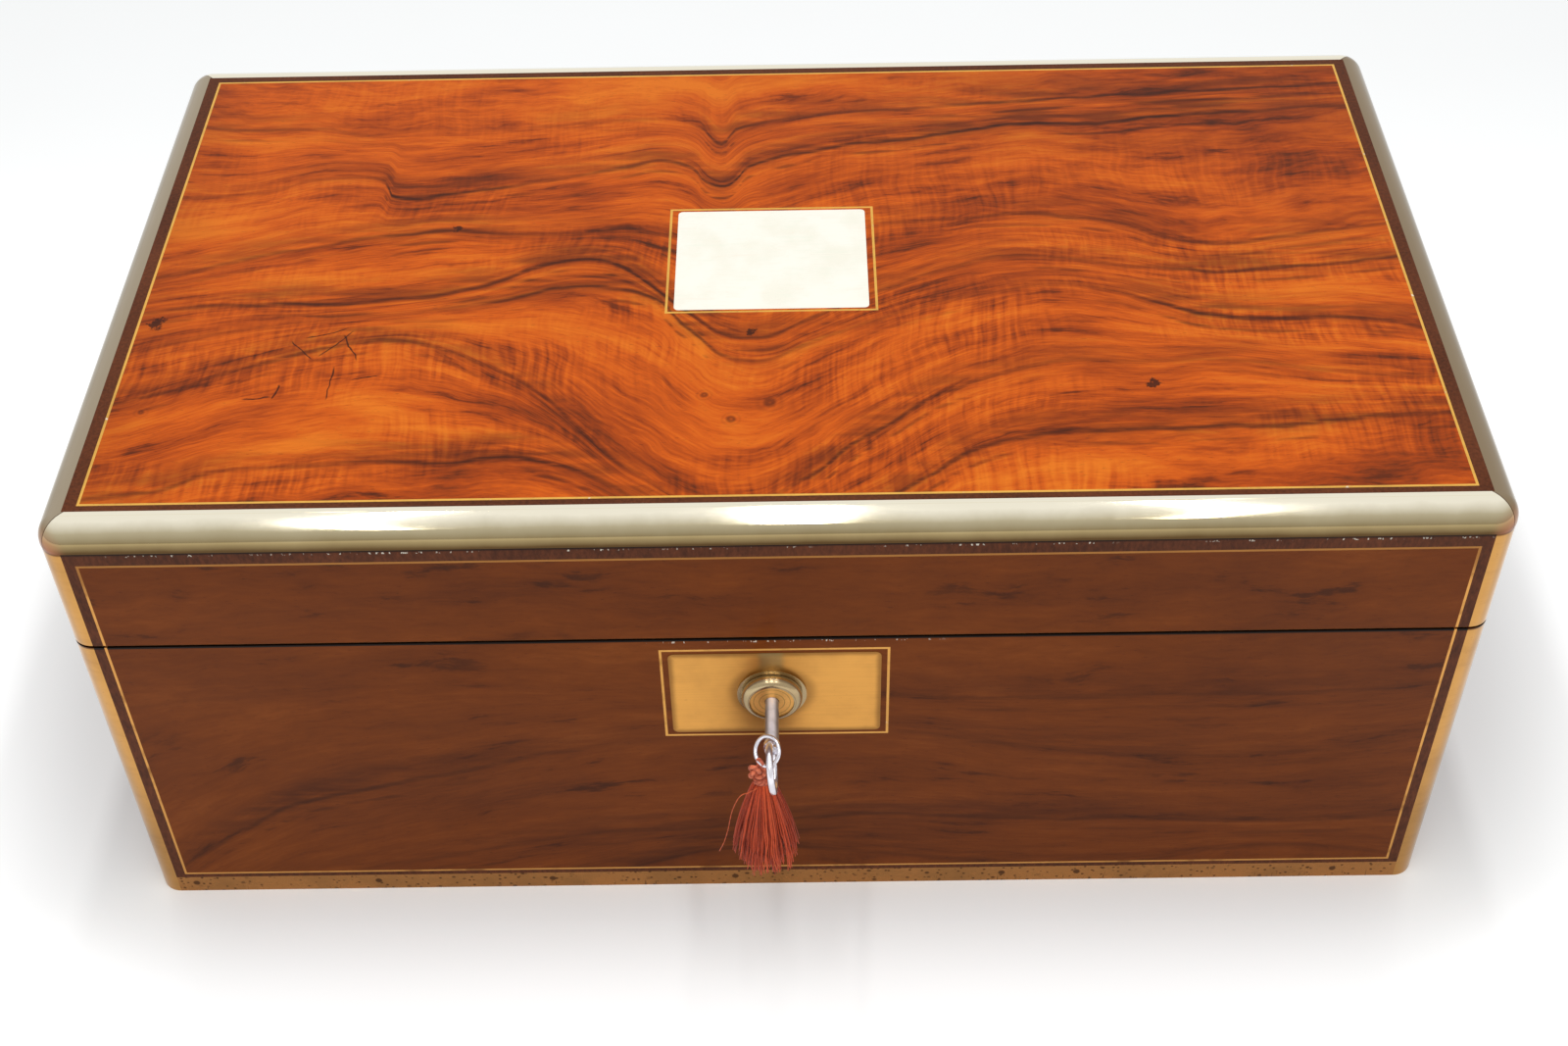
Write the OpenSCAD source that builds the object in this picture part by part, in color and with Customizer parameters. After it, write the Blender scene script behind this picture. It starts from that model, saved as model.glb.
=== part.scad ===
// Writing slope: a brass-bound walnut box that parts along a slanted line and folds
// open into a desk. Millimetres, Z up. The origin is the middle of the underside,
// the lock is on the front (-Y) and the lid turns on two hinges at the back.

/* [Case] */
// Width over the brass edging
case_w = 455; // [430:1:500]
// Depth over the brass edging, front to back
case_d = 260; // [250:1:290]
// Height of the closed case
case_h = 183; // [176:1:196]
// Height at the front where lid and base part
front_split = 131.4; // [128:0.2:136]
// Shadow gap in the veneer on each side of the parting
parting_gap = 0.5; // [0.2:0.1:1]

/* [Boards] */
// Thickness of the walls with their veneer
wall_t = 11.3; // [10.6:0.1:14]
// Thickness of the veneer
veneer_t = 0.9; // [0.6:0.1:1.2]
// Thickness of the bottom board
bottom_t = 7; // [5:0.5:9]
// Thickness of the baize under the case
baize_t = 0.8; // [0.5:0.1:1.5]

/* [Brass edging round the top] */
// Radius of the rounded outer edge
edging_r = 8.6; // [7:0.1:9]
// Width on the top along the front and back
edging_w = 9.3; // [9.1:0.1:11]
// Height on the walls
edging_h = 9.4; // [9.2:0.1:12]
// Thickness of the brass
edging_t = 2.2; // [1.6:0.1:2.6]
// Chamfer of the wood inside the edging
edging_chamfer = 3.6; // [3:0.1:4.5]
// How far the edging stands proud of the veneer
edging_proud = 0.4; // [0.1:0.1:1]

/* [Brass strips on the walls] */
// Radius and width of the rounded corner strips
strip_r = 7.6; // [6:0.1:8.6]
// Thickness of the corner and foot strips
strip_t = 1.6; // [1.2:0.1:2]
// Chamfer of the wood behind a corner strip
strip_chamfer = 3.4; // [2.8:0.1:4]
// Height of the foot strips
foot_h = 8; // [6:0.5:12]

/* [Banding and stringing] */
// Width of the inlaid brass lines
string_w = 0.85; // [0.6:0.05:1.5]
// Dark band beside the corner strips
wall_band_side = 3.4; // [2:0.1:8]
// Dark band under the edging
wall_band_top = 5.4; // [2:0.1:8]
// Dark band over the foot strips
wall_band_foot = 1.9; // [1:0.1:8]
// Dark band on the top at the left and right
top_band_side = 4.1; // [2:0.1:8]
// Dark band on the top at the front
top_band_front = 2.5; // [1:0.1:8]
// Dark band on the top at the back
top_band_back = 3.3; // [1:0.1:8]

/* [Name plate] */
// Width of the blank plate in the top
name_w = 66; // [40:1:90]
// Depth of the plate
name_d = 55.5; // [30:0.5:80]
// Corner radius of the plate
name_corner = 1.6; // [0.5:0.1:4]
// Wood showing between plate and line, left and right
name_gap_side = 2.1; // [1:0.1:4]
// Wood showing between plate and line, front and back
name_gap_end = 0.8; // [0.5:0.1:4]
// Middle of the plate from the middle of the top, in X
name_x = -1.3; // [-5:0.1:5]
// Middle of the plate from the middle of the top, in Y
name_y = 0.8; // [-10:0.1:10]

/* [Lock plate] */
// Width of the plate round the lock
plate_w = 69; // [50:1:90]
// Height of the plate
plate_h = 38.6; // [30:0.2:44]
// Corner radius of the plate
plate_corner = 2; // [0.5:0.1:4]
// Wood showing between plate and line, left and right
plate_gap_side = 1.9; // [1:0.1:4]
// Wood showing between plate and line, top and bottom
plate_gap_end = 1.2; // [0.5:0.1:3]
// How far the plate stands proud of the veneer
plate_proud = 0.15; // [0:0.05:0.3]
// Middle of the plate from the middle of the case
plate_x = -1.5; // [-5:0.1:5]
// Middle of the plate below the parting at the front
plate_drop = 26.6; // [24:0.1:32]

/* [Barrel lock] */
// Middle of the lock from the middle of the case
lock_x = -2.7; // [-5:0.1:5]
// Middle of the lock below the parting at the front
lock_drop = 26.3; // [26:0.1:30]
// Radius of the nozzle's flange
flange_r = 11.4; // [11:0.1:14]
// Thickness of the nozzle's flange
flange_t = 0.9; // [0.6:0.1:1.5]
// Radius of the nozzle's rounded lip
lip_r = 2.6; // [2:0.1:3]
// Radius of the nozzle's tube through the wall
tube_r = 9; // [8.6:0.1:10]
// Radius of the turning barrel
barrel_r = 7.2; // [6.5:0.1:7.4]
// Clearance round the barrel and the key
run_gap = 0.1; // [0.02:0.01:0.1]
// Throw of the barrel's crank pin
crank_r = 4.5; // [3.5:0.1:5]
// Radius of the crank pin
crank_pin_r = 1.1; // [0.8:0.1:1.4]
// Width of the lock case
lock_w = 70; // [68:1:80]
// Thickness of the lock case
lock_t = 8.6; // [8.4:0.1:9]
// Depth of the lock case below the middle of the lock
lock_below = 12; // [11:0.5:20]
// Thickness of the lock case's front wall
lock_wall = 1; // [0.8:0.1:1.2]
// Thickness of the lock case's back
lock_back = 0.6; // [0.5:0.1:0.8]
// Thickness of the sliding bolt
bolt_t = 1.8; // [1.4:0.1:2]
// Middle of the bolt in front of the wall's inner face
bolt_set = 4.1; // [4:0.1:4.3]
// Distance of each staple from the middle of the lock
staple_x = 18; // [16:0.5:18]
// Width of a staple, along its eye
staple_w = 2.2; // [1.6:0.1:2.6]
// Depth of a staple's eye below the parting
staple_drop = 6; // [5.5:0.1:6.4]
// Length of the rim plates of lock and lid
rim_plate_l = 86; // [84:1:96]
// Thickness of the rim plates
rim_plate_t = 1.6; // [1.2:0.1:2]

/* [Key and tassel] */
// Radius of the key's shaft
key_r = 2.3; // [1.8:0.1:2.6]
// Length of shaft outside the lock
key_out = 19; // [14:0.5:26]
// Depth of the shaft inside the barrel
key_in = 9; // [7:0.5:9]
// Radius of the bow's middle line
bow_r = 7; // [6.5:0.1:9]
// How much taller than round the bow is
bow_tall = 1.4; // [0.4:0.1:3]
// Radius of the bow's wire
bow_wire = 1.15; // [0.9:0.05:1.3]
// Turn of the bow from upright
bow_turn = 5; // [0:1:10]
// Radius of the split ring's middle line
ring_r = 4.75; // [4.5:0.05:6]
// Radius of the split ring's wire
ring_wire = 0.65; // [0.5:0.05:0.8]
// Slack between bow and ring, and between ring and cord
ring_slack = 0.3; // [0.25:0.05:0.5]
// Place of the ring round the bow, up from the shaft
ring_at = 30; // [27:1:45]
// Radius of the tassel's knot
knot_r = 3; // [2.4:0.1:3.4]
// Length of the tassel's skirt
skirt_l = 42; // [30:1:46]
// Radius of the skirt at its top
skirt_top_r = 4.6; // [3.5:0.1:6]
// Radius of the skirt at its hem
skirt_hem_r = 10.6; // [8:0.1:12]
// Number of flutes in the skirt
skirt_flutes = 11; // [7:1:15]

/* [Hinges] */
// Distance of each hinge from the middle of the case
hinge_x = 130; // [100:1:150]
// Length of a hinge
hinge_l = 50; // [40:1:70]
// Radius of the knuckles
knuckle_r = 3; // [2.6:0.1:3.4]
// Radius of the hinge pins
pin_r = 1.2; // [1:0.05:1.5]
// Clearance round the hinge pins
pin_gap = 0.05; // [0.02:0.01:0.1]
// Thickness of a leaf
leaf_t = 1.6; // [1.2:0.1:2]
// Width of a leaf from the pin
leaf_w = 11.2; // [9:0.1:11.4]
// Distance of the pin behind the veneered back
hinge_out = 0.5; // [0.45:0.05:1]

/* [Writing boards] */
// Thickness of the two boards
board_t = 8; // [6:0.5:10]
// Depth of the boards' faces below the rims
board_sink = 0.3; // [0.2:0.05:0.6]
// Gap round the boards
board_gap = 0.6; // [0.4:0.1:1.2]
// Wooden margin round the leather
leather_margin = 20; // [14:1:30]
// Thickness of the leather
leather_t = 1; // [0.6:0.1:1.5]
// Size of the ledges that carry the boards
ledge = 6; // [4:0.5:8]
// Radius of the finger notch in each board
notch_r = 9; // [7:0.5:11]
// Distance of each board hinge from the middle
board_hinge_x = 56; // [45:1:70]

/* [Ink and pen section] */
// Depth of the section, front to back
ink_d = 58; // [50:1:64]
// Thickness of the partition behind it
partition_t = 5; // [4:0.5:7]
// Height of the shelf the inkwells stand on
shelf_z = 70; // [60:1:74]
// Thickness of the shelf
shelf_t = 4; // [3:0.5:6]
// Width of the two inkwell places
well_w = 46; // [42:1:60]
// Thickness of the dividers
divider_t = 4; // [3:0.5:6]
// Thickness of the pen tray
tray_t = 20; // [16:1:22]
// Radius of the pen tray's hollow
tray_r = 30; // [28:1:34]
// Width of a square inkwell
bottle_w = 38; // [32:1:40]
// Height of the glass up to its shoulder
bottle_h = 26; // [20:1:30]
// Radius of the inkwell's mouth
mouth_r = 10; // [8:0.5:11]

/* [Hidden] */
$fn = 48;
cut = 1;
far = 1000;
leaf_gap = 0.1;
screw_r = 1.4;
screw_head_r = 2.7;
screw_head_h = 1.3;
screw_l = 8;
screw_slot = 0.6;
arc_steps = 5;

body_w = case_w - 2 * edging_proud;
body_d = case_d - 2 * edging_proud;
hx = body_w / 2;
hy = body_d / 2;
in_x = hx - wall_t;
in_y = hy - wall_t;
wall_top = case_h - edging_h;
board_top = case_h - veneer_t;

// The parting plane runs through the hinge pin, so both open rims make one slope.
hinge_y = hy + hinge_out;
hinge_z = case_h / 2;
slope = atan((front_split - hinge_z) / (hinge_y + hy));

function split_z(y) = hinge_z + (hinge_y - y) * tan(slope);
// Place along the slope, from the hinge pin, of what lies at y and w above the plane.
function along(y, w) = (y - hinge_y - w * sin(slope)) / cos(slope);

lock_z = front_split - lock_drop;
plate_z = front_split - plate_drop;
plate_face = hy + plate_proud;
lock_front = in_y + lock_t;
bolt_y = in_y + bolt_set;
staple_v = along(-bolt_y, -staple_drop);
eye_z = split_z(-bolt_y) - staple_drop / cos(slope);
rim_v0 = staple_v - 4.3;
rim_v1 = along(-in_y, rim_plate_t + leaf_gap);
rim_screw_x = rim_plate_l / 2 - 3.6;
lip_stand = 2.1;
nozzle_face = plate_face + lip_stand + lip_r;
barrel_face = nozzle_face - 0.4;
barrel_back = bolt_y + bolt_t / 2 + 0.6;
crank_turn = 45;
crank_dx = crank_r * sin(crank_turn);
crank_low = crank_r * cos(crank_turn);
crank_gap = 0.25;

key_tip = barrel_face - key_in;
key_end = nozzle_face + key_out;
bow_c = key_end + bow_r + bow_wire;
ring_lean = 51.3;
ring_turn = 220.7;
low = [cos(ring_lean) * cos(ring_turn), cos(ring_lean) * sin(ring_turn), -sin(ring_lean)];
ring_cross = 30;
hang_rise = bow_tall / 2 + bow_r * sin(ring_at);
ring_hang = [lock_x - hang_rise * sin(bow_turn), -bow_c + bow_r * cos(ring_at),
    lock_z + hang_rise * cos(bow_turn)];
ring_c = ring_hang + (ring_r - (ring_wire + bow_wire + ring_slack) / cos(ring_cross)) * low;
ring_low = ring_c + ring_r * low;
loop_wire = 0.5;
loop_r = ring_wire + loop_wire + ring_slack;
knot_lean = 17;
knot_c = ring_low - (loop_r + knot_r) * [sin(knot_lean), 0, cos(knot_lean)];
neck_r = 1.1;
neck_drop = knot_r + 2.6;
skirt_shift = 2.2;
skirt_top = knot_c + [skirt_shift, 0, -neck_drop];
skirt_sides = 3 * skirt_flutes;

shelf_top = shelf_z + shelf_t;
ink_y = -in_y + ink_d;
store_y = ink_y + partition_t;
divider_x = in_x - well_w;
well_x = in_x - well_w / 2;
well_y = -in_y + ink_d / 2;
tray_top = split_z(ink_y) - 4;
board_x = in_x - board_gap;
cap_stand = 8;
cap_rim_t = 2.4;
cap_rise = 4;
cap_dome_r = 20;
cap_bead_r = 1.2;
cap_bead_at = 1.6;
board_hinge_r = 1.3;
board_hinge_gap = 3.6;
board_hinge_l = 36;
board_leaf_t = 1.2;
board_v1 = along(in_y, 0) - board_hinge_gap;
board_pin_v = board_v1 + 1.6;
board_leaf_v = [board_v1 - 10, board_v1 + board_hinge_gap + 6];
upper_v0 = along(store_y, -board_sink - board_t) + board_gap;
lower_v0 = along(-in_y, board_sink) + board_gap;

WALNUT = "#8a4a26";
DARKWOOD = "#4a2418";
PINE = "#b98a58";
BRASS = "#c9a35c";
STEEL = "#b8babd";

// Puts children in the frame of the parting plane: X along the pin, Y down the slope
// to the back, Z square to the plane.
module tilted() {
    translate([0, hinge_y, hinge_z]) rotate([-slope, 0, 0]) children();
}

// A box given by its two ends in each direction.
module block(x, y, z) {
    translate([x[0], y[0], z[0]]) cube([x[1] - x[0], y[1] - y[0], z[1] - z[0]]);
}

module area(x, y) {
    translate([x[0], y[0]]) square([x[1] - x[0], y[1] - y[0]]);
}

// All that lies below the parting plane by a drop, or above it by a rise.
module below_split(drop) {
    tilted() block([-far, far], [-far, far], [-far, -drop]);
}

module above_split(rise) {
    tilted() block([-far, far], [-far, far], [rise, far]);
}

// Runs its children out along -Y, so a profile's height is its distance to the front.
module toward_front(x, z) {
    translate([x, 0, z]) rotate([90, 0, 0]) children();
}

// A rectangle with round corners.
function rounded(w, h, r) = [
    for (q = [0:3], s = [0:arc_steps])
        let (a = 90 * (q + s / arc_steps), sx = q == 0 || q == 3 ? 1 : -1, sy = q < 2 ? 1 : -1)
            [sx * (w / 2 - r) + r * cos(a), sy * (h / 2 - r) + r * sin(a)]
];

// A plan outline from one corner, whose points are distances in from side and front.
function flip(p) = [for (i = [len(p) - 1:-1:0]) p[i]];
function four_corners(w, d, p) = concat(
    [for (q = p) [w / 2 - q[0], -d / 2 + q[1]]],
    [for (q = flip(p)) [w / 2 - q[0], d / 2 - q[1]]],
    [for (q = p) [-w / 2 + q[0], d / 2 - q[1]]],
    [for (q = flip(p)) [-w / 2 + q[0], -d / 2 + q[1]]]
);
core_corner = [[strip_t + strip_chamfer, strip_t], [strip_t, strip_t + strip_chamfer]];
wall_corner = concat([[strip_r, veneer_t], [strip_r, strip_t]], core_corner,
    [[strip_t, strip_r], [veneer_t, strip_r]]);

// The outside of the wooden walls, cut back for the brass strips.
module carcass() {
    linear_extrude(wall_top) polygon(four_corners(body_w, body_d, wall_corner));
}

module foot_relief() {
    difference() {
        block([-far, far], [-far, far], [-cut, foot_h]);
        translate([0, 0, -2 * cut]) linear_extrude(foot_h + 4 * cut)
            polygon(four_corners(body_w, body_d, core_corner));
    }
}

// One wall of the carcass, mitred at both ends. A turn of 0 is the front.
module wall(turn, width, depth) {
    intersection() {
        difference() {
            carcass();
            foot_relief();
        }
        rotate([0, 0, turn]) linear_extrude(far) polygon([
            [-width / 2, -depth / 2], [width / 2, -depth / 2],
            [width / 2 - wall_t, -depth / 2 + wall_t], [-width / 2 + wall_t, -depth / 2 + wall_t]
        ]);
    }
}

module base_wall(turn, width, depth) {
    intersection() {
        wall(turn, width, depth);
        block([-far, far], [-far, far], [baize_t, far]);
        below_split(0);
    }
}

module lid_wall(turn, width, depth) {
    intersection() {
        wall(turn, width, depth);
        above_split(0);
    }
}

// The space taken in the rims by the hinge leaves, and the round notch for the knuckles.
module hinge_pockets(side) {
    for (x = [-hinge_x, hinge_x]) {
        tilted() block([x - hinge_l / 2, x + hinge_l / 2], [-leaf_w, 0], side < 0
            ? [-leaf_t - leaf_gap, cut] : [-cut, leaf_t + leaf_gap]);
        translate([x - hinge_l / 2 - 0.3, hinge_y, hinge_z]) rotate([0, 90, 0])
            cylinder(r = knuckle_r + 0.4, h = hinge_l + 0.6);
    }
}

// Countersunk screws driven into a rim at given places along X, flush with its plates.
module rim_screws(side, places, v) {
    for (x = places) tilted() translate([x, v, side * leaf_gap]) mirror([0, 0, side < 0 ? 0 : 1]) {
        translate([0, 0, -screw_l]) cylinder(r = screw_r, h = screw_l);
        translate([0, 0, -screw_head_h]) cylinder(r1 = screw_r, r2 = screw_head_r, h = screw_head_h);
    }
}

module slotted_screws(side, places, v) {
    difference() {
        rim_screws(side, places, v);
        for (x = places) tilted() translate([x - screw_slot / 2, v - screw_head_r - cut, side < 0
            ? -leaf_gap - 0.5 : leaf_gap - cut])
            cube([screw_slot, 2 * screw_head_r + 2 * cut, cut + 0.5]);
    }
}

hinge_screw_x = [for (x = [-hinge_x, hinge_x], k = [-1:1]) x + k * (hinge_l / 2 - 8)];
hinge_screw_v = -leaf_w + 3.6;
rim_screw_places = [lock_x - rim_screw_x, lock_x + rim_screw_x];
rim_screw_v = (rim_v0 + rim_v1) / 2;

// The let-in leaf of each board hinge, and its barrel in the gap behind the board.
module at_board_hinges() {
    for (x = [-board_hinge_x, board_hinge_x]) tilted() translate([x - board_hinge_l / 2, 0, 0]) children();
}

module board_hinge(side) {
    w = board_sink + board_leaf_t;
    at_board_hinges() {
        block([0, board_hinge_l], board_leaf_v, side < 0 ? [-w, -board_sink] : [board_sink, w]);
        translate([0, board_pin_v, side * (board_sink + board_hinge_r)]) rotate([0, 90, 0])
            cylinder(r = board_hinge_r, h = board_hinge_l);
    }
}

module board_hinge_pockets(side) {
    w = board_sink + board_leaf_t;
    at_board_hinges() block([0, board_hinge_l], board_leaf_v, side < 0 ? [-w, cut] : [-cut, w]);
}

// What the lock takes out of the front wall.
module lock_block() {
    intersection() {
        block([lock_x - lock_w / 2, lock_x + lock_w / 2], [-lock_front, -in_y], [lock_z - lock_below, far]);
        below_split(rim_plate_t + leaf_gap);
    }
}

module rim_plate(side) {
    tilted() block([lock_x - rim_plate_l / 2, lock_x + rim_plate_l / 2], [rim_v0, rim_v1],
        side < 0 ? [-rim_plate_t - leaf_gap, -leaf_gap] : [leaf_gap, rim_plate_t + leaf_gap]);
}

module rim_pocket(side) {
    tilted() block([lock_x - rim_plate_l / 2, lock_x + rim_plate_l / 2], [rim_v0, rim_v1 + cut],
        side < 0 ? [-rim_plate_t - leaf_gap, cut] : [-cut, rim_plate_t + leaf_gap]);
}

// Base walls and bottom

module base_front_board() {
    color(PINE) difference() {
        base_wall(0, body_w, body_d);
        lock_block();
        rim_pocket(-1);
        toward_front(lock_x, lock_z) cylinder(r = tube_r + 0.1, h = far);
        rim_screws(-1, rim_screw_places, rim_screw_v);
    }
}

module base_back_board() {
    color(PINE) difference() {
        base_wall(180, body_w, body_d);
        hinge_pockets(-1);
        rim_screws(-1, hinge_screw_x, hinge_screw_v);
        board_hinge_pockets(-1);
    }
}

module base_left_board() {
    color(PINE) base_wall(-90, body_d, body_w);
}

module base_right_board() {
    color(PINE) base_wall(90, body_d, body_w);
}

module base_bottom_board() {
    color(PINE) block([-in_x, in_x], [-in_y, in_y], [baize_t, baize_t + bottom_t]);
}

module base_baize() {
    color("#2f4a35") linear_extrude(baize_t) polygon(four_corners(body_w, body_d, core_corner));
}

// Veneer, banding and stringing are flat layers of one thickness laid on the boards.
// A layer is drawn as the wall is seen from outside and put on it by a turn.
module on_wall(turn, distance) {
    rotate([0, 0, turn]) translate([0, -distance + veneer_t, 0]) rotate([90, 0, 0])
        linear_extrude(veneer_t) children();
}

module wall_field(half) {
    area([-half + strip_r, half - strip_r], [foot_h, wall_top]);
}

module wall_line(half, inset) {
    area([-half + strip_r + wall_band_side + inset, half - strip_r - wall_band_side - inset],
        [foot_h + wall_band_foot + inset, wall_top - wall_band_top - inset]);
}

module wall_banding() {
    on_wall(0, hy) difference() { wall_field(hx); wall_line(hx, 0); }
    for (turn = [90, -90]) on_wall(turn, hx) difference() { wall_field(hy); wall_line(hy, 0); }
}

module wall_stringing() {
    on_wall(0, hy) difference() { wall_line(hx, 0); wall_line(hx, string_w); }
    for (turn = [90, -90]) on_wall(turn, hx) difference() { wall_line(hy, 0); wall_line(hy, string_w); }
}

module wall_veneer() {
    on_wall(0, hy) wall_line(hx, string_w);
    for (turn = [90, -90]) on_wall(turn, hx) wall_line(hy, string_w);
    on_wall(180, hy) wall_field(hx);
}

module plate_outline() {
    translate([plate_x, plate_z]) polygon(rounded(plate_w, plate_h, plate_corner));
}

// The line round the lock plate. An inset of 0 is its outer edge.
module plate_line(inset) {
    w = plate_w + 2 * (plate_gap_side + string_w - inset);
    h = plate_h + 2 * (plate_gap_end + string_w - inset);
    translate([plate_x - w / 2, plate_z - h / 2]) square([w, h]);
}

module base_veneer() {
    color(WALNUT) difference() {
        intersection() {
            wall_veneer();
            below_split(parting_gap);
        }
        translate([0, -hy + 2 * cut, 0]) rotate([90, 0, 0]) linear_extrude(4 * cut) {
            difference() { plate_line(0); plate_line(string_w); }
            plate_outline();
        }
        hinge_pockets(-1);
    }
}

module base_banding() {
    color(DARKWOOD) intersection() {
        wall_banding();
        below_split(parting_gap);
    }
}

module base_stringing() {
    color(BRASS) {
        intersection() {
            wall_stringing();
            below_split(parting_gap);
        }
        on_wall(0, hy) difference() { plate_line(0); plate_line(string_w); }
    }
}

// Brass strips

// A rounded strip up each corner, bedded on the chamfered wood.
module corner_strips() {
    difference() {
        for (sx = [-1, 1], sy = [-1, 1])
            translate([sx * (hx - strip_r), sy * (hy - strip_r), 0])
                rotate([0, 0, sx > 0 ? (sy > 0 ? 0 : -90) : (sy > 0 ? 90 : 180)])
                    rotate_extrude(angle = 90) square([strip_r, wall_top]);
        translate([0, 0, -cut]) linear_extrude(wall_top + 2 * cut)
            polygon(four_corners(body_w, body_d, core_corner));
    }
}

module base_corner_strips() {
    color(BRASS) intersection() {
        corner_strips();
        below_split(parting_gap);
    }
}

module lid_corner_strips() {
    color(BRASS) intersection() {
        corner_strips();
        above_split(parting_gap);
    }
}

module base_foot_strips() {
    color(BRASS) {
        for (side = [-1, 1]) {
            block([-hx + strip_r, hx - strip_r], side < 0 ? [-hy, -hy + strip_t] : [hy - strip_t, hy],
                [0, foot_h]);
            block(side < 0 ? [-hx, -hx + strip_t] : [hx - strip_t, hx], [-hy + strip_r, hy - strip_r],
                [0, foot_h]);
        }
    }
}

// The wood that the edging beds on: chamfered along its top and up its corners.
module edging_core() {
    x = case_w / 2 - edging_t;
    y = case_d / 2 - edging_t;
    z = case_h - edging_t;
    c = edging_chamfer;
    intersection() {
        translate([0, far / 2, 0]) rotate([90, 0, 0]) linear_extrude(far)
            polygon([[-x, wall_top], [x, wall_top], [x, z - c], [x - c, z], [-x + c, z], [-x, z - c]]);
        rotate([90, 0, 90]) translate([0, 0, -far / 2]) linear_extrude(far)
            polygon([[-y, wall_top], [y, wall_top], [y, z - c], [y - c, z], [-y + c, z], [-y, z - c]]);
        linear_extrude(far) polygon(four_corners(2 * x, 2 * y, [[c, 0], [0, c]]));
    }
}

// Half of the edging's outside: a quarter round over a short upright.
module edging_profile() {
    intersection() {
        circle(edging_r);
        square(edging_r);
    }
    area([0, edging_r], [edging_r - edging_h, 0]);
}

module edging_run(length) {
    rotate([90, 0, 90]) translate([0, 0, -length / 2]) linear_extrude(length) mirror([1, 0]) edging_profile();
}

// The whole edging round the top, with ball corners.
module edging_round() {
    cx = case_w / 2 - edging_r;
    cy = case_d / 2 - edging_r;
    translate([0, 0, case_h - edging_r]) {
        for (turn = [0, 180]) rotate([0, 0, turn]) translate([0, -cy, 0]) edging_run(2 * cx);
        for (turn = [90, -90]) rotate([0, 0, turn]) translate([0, -cx, 0]) edging_run(2 * cy);
        for (sx = [-1, 1], sy = [-1, 1])
            translate([sx * cx, sy * cy, 0])
                rotate([0, 0, sx > 0 ? (sy > 0 ? 0 : -90) : (sy > 0 ? 90 : 180)])
                    rotate_extrude(angle = 90) edging_profile();
    }
    for (side = [-1, 1])
        block([-case_w / 2 + edging_r, case_w / 2 - edging_r],
            side < 0 ? [-cy - cut, -case_d / 2 + edging_w] : [case_d / 2 - edging_w, cy + cut],
            [case_h - edging_t, case_h]);
}

// The plan of one strip of the edging, mitred to its neighbours.
module edging_plan(turn) {
    x = case_w / 2;
    y = case_d / 2;
    ends = turn == 0
        ? [[-x, -y], [x, -y], [x - edging_r, -y + edging_w], [-x + edging_r, -y + edging_w]]
        : [[x, -y], [x, y], [x - edging_r, y - edging_w], [x - edging_r, -y + edging_w]];
    translate([0, 0, wall_top - cut]) linear_extrude(edging_h + 2 * cut) polygon(ends);
}

module edging_strip(turn) {
    intersection() {
        difference() {
            edging_round();
            edging_core();
        }
        edging_plan(turn);
    }
}

module lid_front_edging() {
    color(BRASS) edging_strip(0);
}

module lid_back_edging() {
    color(BRASS) mirror([0, 1, 0]) edging_strip(0);
}

module lid_side_edgings() {
    color(BRASS) {
        edging_strip(90);
        mirror([1, 0, 0]) edging_strip(90);
    }
}

// Lid walls and top

module top_field() {
    area([-case_w / 2 + edging_r, case_w / 2 - edging_r], [-case_d / 2 + edging_w, case_d / 2 - edging_w]);
}

module top_line(inset) {
    area([-case_w / 2 + edging_r + top_band_side + inset, case_w / 2 - edging_r - top_band_side - inset],
        [-case_d / 2 + edging_w + top_band_front + inset, case_d / 2 - edging_w - top_band_back - inset]);
}

module name_outline() {
    translate([name_x, name_y]) polygon(rounded(name_w, name_d, name_corner));
}

module name_line(inset) {
    w = name_w + 2 * (name_gap_side + string_w - inset);
    d = name_d + 2 * (name_gap_end + string_w - inset);
    translate([name_x - w / 2, name_y - d / 2]) square([w, d]);
}

module on_top() {
    translate([0, 0, board_top]) linear_extrude(veneer_t) children();
}

module lid_top_board() {
    color(PINE) union() {
        edging_core();
        translate([0, 0, case_h - edging_t - cut]) linear_extrude(edging_t - veneer_t + cut) top_field();
    }
}

module lid_front_board() {
    color(PINE) difference() {
        lid_wall(0, body_w, body_d);
        rim_pocket(1);
        rim_screws(1, rim_screw_places, rim_screw_v);
    }
}

module lid_back_board() {
    color(PINE) difference() {
        lid_wall(180, body_w, body_d);
        hinge_pockets(1);
        rim_screws(1, hinge_screw_x, hinge_screw_v);
        board_hinge_pockets(1);
    }
}

module lid_left_board() {
    color(PINE) lid_wall(-90, body_d, body_w);
}

module lid_right_board() {
    color(PINE) lid_wall(90, body_d, body_w);
}

module lid_veneer() {
    color(WALNUT) difference() {
        union() {
            intersection() {
                wall_veneer();
                above_split(parting_gap);
            }
            on_top() difference() {
                top_line(string_w);
                difference() { name_line(0); name_line(string_w); }
                name_outline();
            }
        }
        hinge_pockets(1);
    }
}

module lid_banding() {
    color(DARKWOOD) {
        intersection() {
            wall_banding();
            above_split(parting_gap);
        }
        on_top() difference() { top_field(); top_line(0); }
    }
}

module lid_stringing() {
    color(BRASS) {
        intersection() {
            wall_stringing();
            above_split(parting_gap);
        }
        on_top() difference() { top_line(0); top_line(string_w); }
        on_top() difference() { name_line(0); name_line(string_w); }
    }
}

module name_plate() {
    color("#f4efe0") on_top() name_outline();
}

// Lock

module escutcheon_plate() {
    color(BRASS) difference() {
        translate([0, -hy + veneer_t, 0]) rotate([90, 0, 0]) linear_extrude(veneer_t + plate_proud)
            plate_outline();
        toward_front(lock_x, lock_z) cylinder(r = tube_r + 0.1, h = far);
    }
}

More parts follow.
